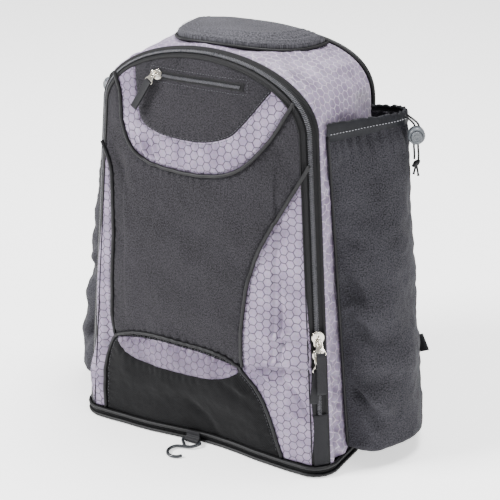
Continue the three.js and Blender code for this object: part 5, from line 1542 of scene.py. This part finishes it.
def settle(piece, axes):
    scene = bpy.context.scene
    work = piece.copy()
    work.data = piece.data.copy()
    scene.collection.objects.link(work)
    work.parent = None
    remesh = work.modifiers.new("even", "REMESH")
    remesh.mode = "VOXEL"
    remesh.voxel_size = softSim["voxel"] * mm
    graph = bpy.context.evaluated_depsgraph_get()
    even = bpy.data.meshes.new_from_object(work.evaluated_get(graph))
    work.modifiers.clear()
    work.data = even
    start = np.array([v.co for v in even.vertices])
    cloth = work.modifiers.new("cloth", "CLOTH")
    cloth.settings.use_pressure = True
    cloth.settings.uniform_pressure_force = softSim["pressure"]
    cloth.settings.effector_weights.gravity = 0
    cloth.point_cache.frame_start, cloth.point_cache.frame_end = 1, softSim["frames"]
    for step in range(1, softSim["frames"] + 1):
        scene.frame_set(step)
    graph = bpy.context.evaluated_depsgraph_get()
    moved = bpy.data.meshes.new_from_object(work.evaluated_get(graph))
    shift = np.array([v.co for v in moved.vertices]) - start
    length = np.linalg.norm(shift, axis=1, keepdims=True)
    shift *= np.minimum(1, softSim["cap"] * mm / np.maximum(length, 1e-9))
    bm = bmesh.new()
    bm.from_mesh(even)
    for vert, move in zip(bm.verts, shift):
        vert.co += Vector(move)
    bmesh.ops.subdivide_edges(bm, edges=bm.edges[:], cuts=1, use_grid_fill=True, smooth=0.3)
    bmesh.ops.smooth_vert(bm, verts=bm.verts[:], factor=0.5, use_axis_x=True, use_axis_y=True,
                          use_axis_z=True)
    layer = bm.loops.layers.uv.new("cloth")
    for face in bm.faces:
        for loop in face.loops:
            loop[layer].uv = [loop.vert.co[a] / mm for a in axes]
    bm.to_mesh(piece.data)
    bm.free()
    for face in piece.data.polygons:
        face.use_smooth = True
    bpy.data.objects.remove(work)
    scene.frame_set(1)
    return piece


# shoulder straps, their buckles and webbing; ends as place across, height and width
strap = {"top": (52, 440, 62), "end": (104, 178, 44), "thick": 13, "standoff": 34, "bow": 12,
         "spread": 1.4,
         "webbing": 22, "tape": 1.4}


def strapPlace(share, hand):
    share = np.asarray(share, float)
    off = np.interp(share, [0, 0.08, 0.2, 0.4, 0.6, 0.85, 1], [0, 0.02, 0.5, 0.95, 1, 0.75, 0.5])
    x = hand * (mix(strap["top"][0], strap["end"][0], share ** strap["spread"]) + strap["bow"]
                * np.sin(np.pi * share))
    return np.stack([x, 72.6 + strap["thick"] / 2 + strap["standoff"] * off,
                     mix(strap["top"][1], strap["end"][1], share)], axis=-1)


def strapFrame(share, hand):
    run = unit(strapPlace(np.minimum(share + 0.02, 1), hand)
               - strapPlace(np.maximum(share - 0.02, 0), hand))
    across = np.array((1.0, 0, 0)) - run * run[..., :1]
    across = unit(across)
    return strapPlace(share, hand), across, unit(np.cross(across, run)), run


def stationGrid(curve, width):  # the rows of a flat tape that follows a curve
    ahead = unit(np.gradient(curve, axis=0))
    across = unit(np.cross(ahead, np.array((0.0, 1.0, 0.0))))
    edge = np.array([-1, -0.94, -0.5, 0, 0.5, 0.94, 1]) * width / 2
    grid = curve[:, None] + across[:, None] * edge[None, :, None]
    return grid.transpose(1, 0, 2)


def bezier(a, b, c, d, count=40):
    t = np.linspace(0, 1, count)[:, None]
    a, b, c, d = (np.array(p, float) for p in (a, b, c, d))
    return a * (1 - t) ** 3 + 3 * b * t * (1 - t) ** 2 + 3 * c * t * t * (1 - t) + d * t ** 3


for handName, hand in (("right", 1), ("left", -1)):
    share = np.linspace(0, 1, 70)
    middle, across, out, run = strapFrame(share, hand)
    wide = mix(strap["top"][2], strap["end"][2], share) / 2
    rings = []
    for turn in np.linspace(0, 2 * np.pi, 37):
        c, sn = math.cos(turn), math.sin(turn)
        a = math.copysign(abs(c) ** 0.7, c)
        b = math.copysign(abs(sn) ** 0.6, sn)
        thick = 6.5 * (1 - 0.4 * smoothStep(0.95, 1, share)) * (1 - 0.25
                                                                * smoothStep(0.06, 0, share))
        ripple = 0.5 * cloudy(middle + a * 9, 26, 2) * (abs(b) > 0.3)
        rings.append(middle + across * (a * wide)[:, None] + out
                     * (b * thick + math.copysign(1, b) * ripple)[:, None])
    bm = gridCloth(np.array(rings), wrap=True)
    bmesh.ops.holes_fill(bm, edges=[e for e in bm.edges if e.is_boundary])
    bmesh.ops.recalc_face_normals(bm, faces=bm.faces[:])
    piece = link(bm, f"shoulder_strap_{handName}_cloth", "oxford",
                 [f"shoulder_strap_{handName}"])
    settle(piece, (0, 2))
    for edge in (-1, 1):
        line = middle + across * (edge * wide)[:, None]
        link(tubeMesh(line, 1.9, 10, lift=(0, 1, 0)),
             f"strap_binding_{handName}_{'in' if edge < 0 else 'out'}",
             "binding")

    end, across, out, run = strapFrame(np.array([1.0]), hand)
    end, across, out, run = end[0], across[0], out[0], run[0]
    lockAt = end + run * 15.6
    w, h = 16, 15
    bars = [[(x, y + s * h * 0.42) for x, y in roundedBox(12.4, 2.6, 1.0, 2)] for s in (1, -1)]
    outline = [(-w, -12), (-12.8, -h), (12.8, -h), (w, -12), (w, h - 2), (w - 2, h), (-w + 2, h),
               (-w, h - 2)]
    bm = plate(outline, -2.4, 2.4, 0.7, bars, 3)
    link(place(bm, frameOf(lockAt, across, -run, -out)), f"ladder_lock_{handName}_moulding",
         "buckle",
         [f"ladder_lock_{handName}"])

    under = lockAt + run * 15.6
    anchor = np.array((hand * 146, 73.4, 46.0))
    drop = (under[2] - anchor[2]) / 2
    curve = bezier(under, under + run * drop, anchor + np.array((0, 10, drop)), anchor)
    bm = gridCloth(stationGrid(curve, strap["webbing"]))
    bmesh.ops.solidify(bm, geom=bm.faces[:], thickness=strap["tape"] * mm)
    bmesh.ops.recalc_face_normals(bm, faces=bm.faces[:])
    link(bm, f"strap_webbing_{handName}_tape", "webbing", [f"strap_webbing_{handName}"])
    start = lockAt + run * 6 + np.array((0, 3.6, 0))
    tip = np.array((hand * 209, 80.3, 105.0))
    tipRun = np.array((hand * math.cos(math.radians(25)), 0, math.sin(math.radians(25))))
    curve = bezier(start, start + run * 62 + np.array((0, 7.2, 0)), tip - tipRun * 80.6, tip, 60)
    grid = stationGrid(curve, strap["webbing"])
    grid[..., 1] += (0.8 * np.sin(np.linspace(0, 9, 60)))[None, :]
    bm = gridCloth(grid)
    bmesh.ops.solidify(bm, geom=bm.faces[:], thickness=strap["tape"] * mm)
    bmesh.ops.recalc_face_normals(bm, faces=bm.faces[:])
    link(bm, f"strap_tail_{handName}_tape", "webbing", [f"strap_tail_{handName}"])
print("straps made")


# floor, light and the last lines
def areaLight(name, place, aim, size, power, colour=(1, 1, 1)):
    data = bpy.data.lights.new(name, "AREA")
    data.shape = "RECTANGLE"
    data.size, data.size_y = size
    data.energy = power
    data.color = colour
    lamp = bpy.data.objects.new(name, data)
    bpy.context.scene.collection.objects.link(lamp)
    lamp.location = place
    lamp.rotation_euler = (Vector(aim) - Vector(place)).to_track_quat("-Z", "Y").to_euler()


floorMaterial = newMaterial("white_studio_floor", {
    "Base Color": (0.95, 0.95, 0.95, 1), "Roughness": 0.9, "Specular IOR Level": 0.1,
    "Emission Color": (1, 1, 1, 1), "Emission Strength": 1.1})[0]
floorMesh = bpy.data.meshes.new("studio_floor")
bm = bmesh.new()
bmesh.ops.create_grid(bm, x_segments=1, y_segments=1, size=30)
bm.to_mesh(floorMesh)
bm.free()
floorMesh.materials.append(floorMaterial)
floor = bpy.data.objects.new("studio_floor", floorMesh)
bpy.context.scene.collection.objects.link(floor)

world = bpy.data.worlds.new("studio") if bpy.context.scene.world is None else bpy.context.scene.world
bpy.context.scene.world = world
world.use_nodes = True
world.node_tree.nodes["Background"].inputs[0].default_value = (1, 1, 1, 1)
world.node_tree.nodes["Background"].inputs[1].default_value = 0.5
areaLight("key_light", (-1.9, -1.7, 2.3), (0, 0, 0.3), (0.8, 0.8), 230)
areaLight("fill_light", (2.8, -0.6, 1.2), (0, 0, 0.25), (1.0, 1.0), 34)
areaLight("top_light", (0.3, 0.5, 2.6), (0, 0, 0.3), (1.0, 1.0), 105)
print("stage made")
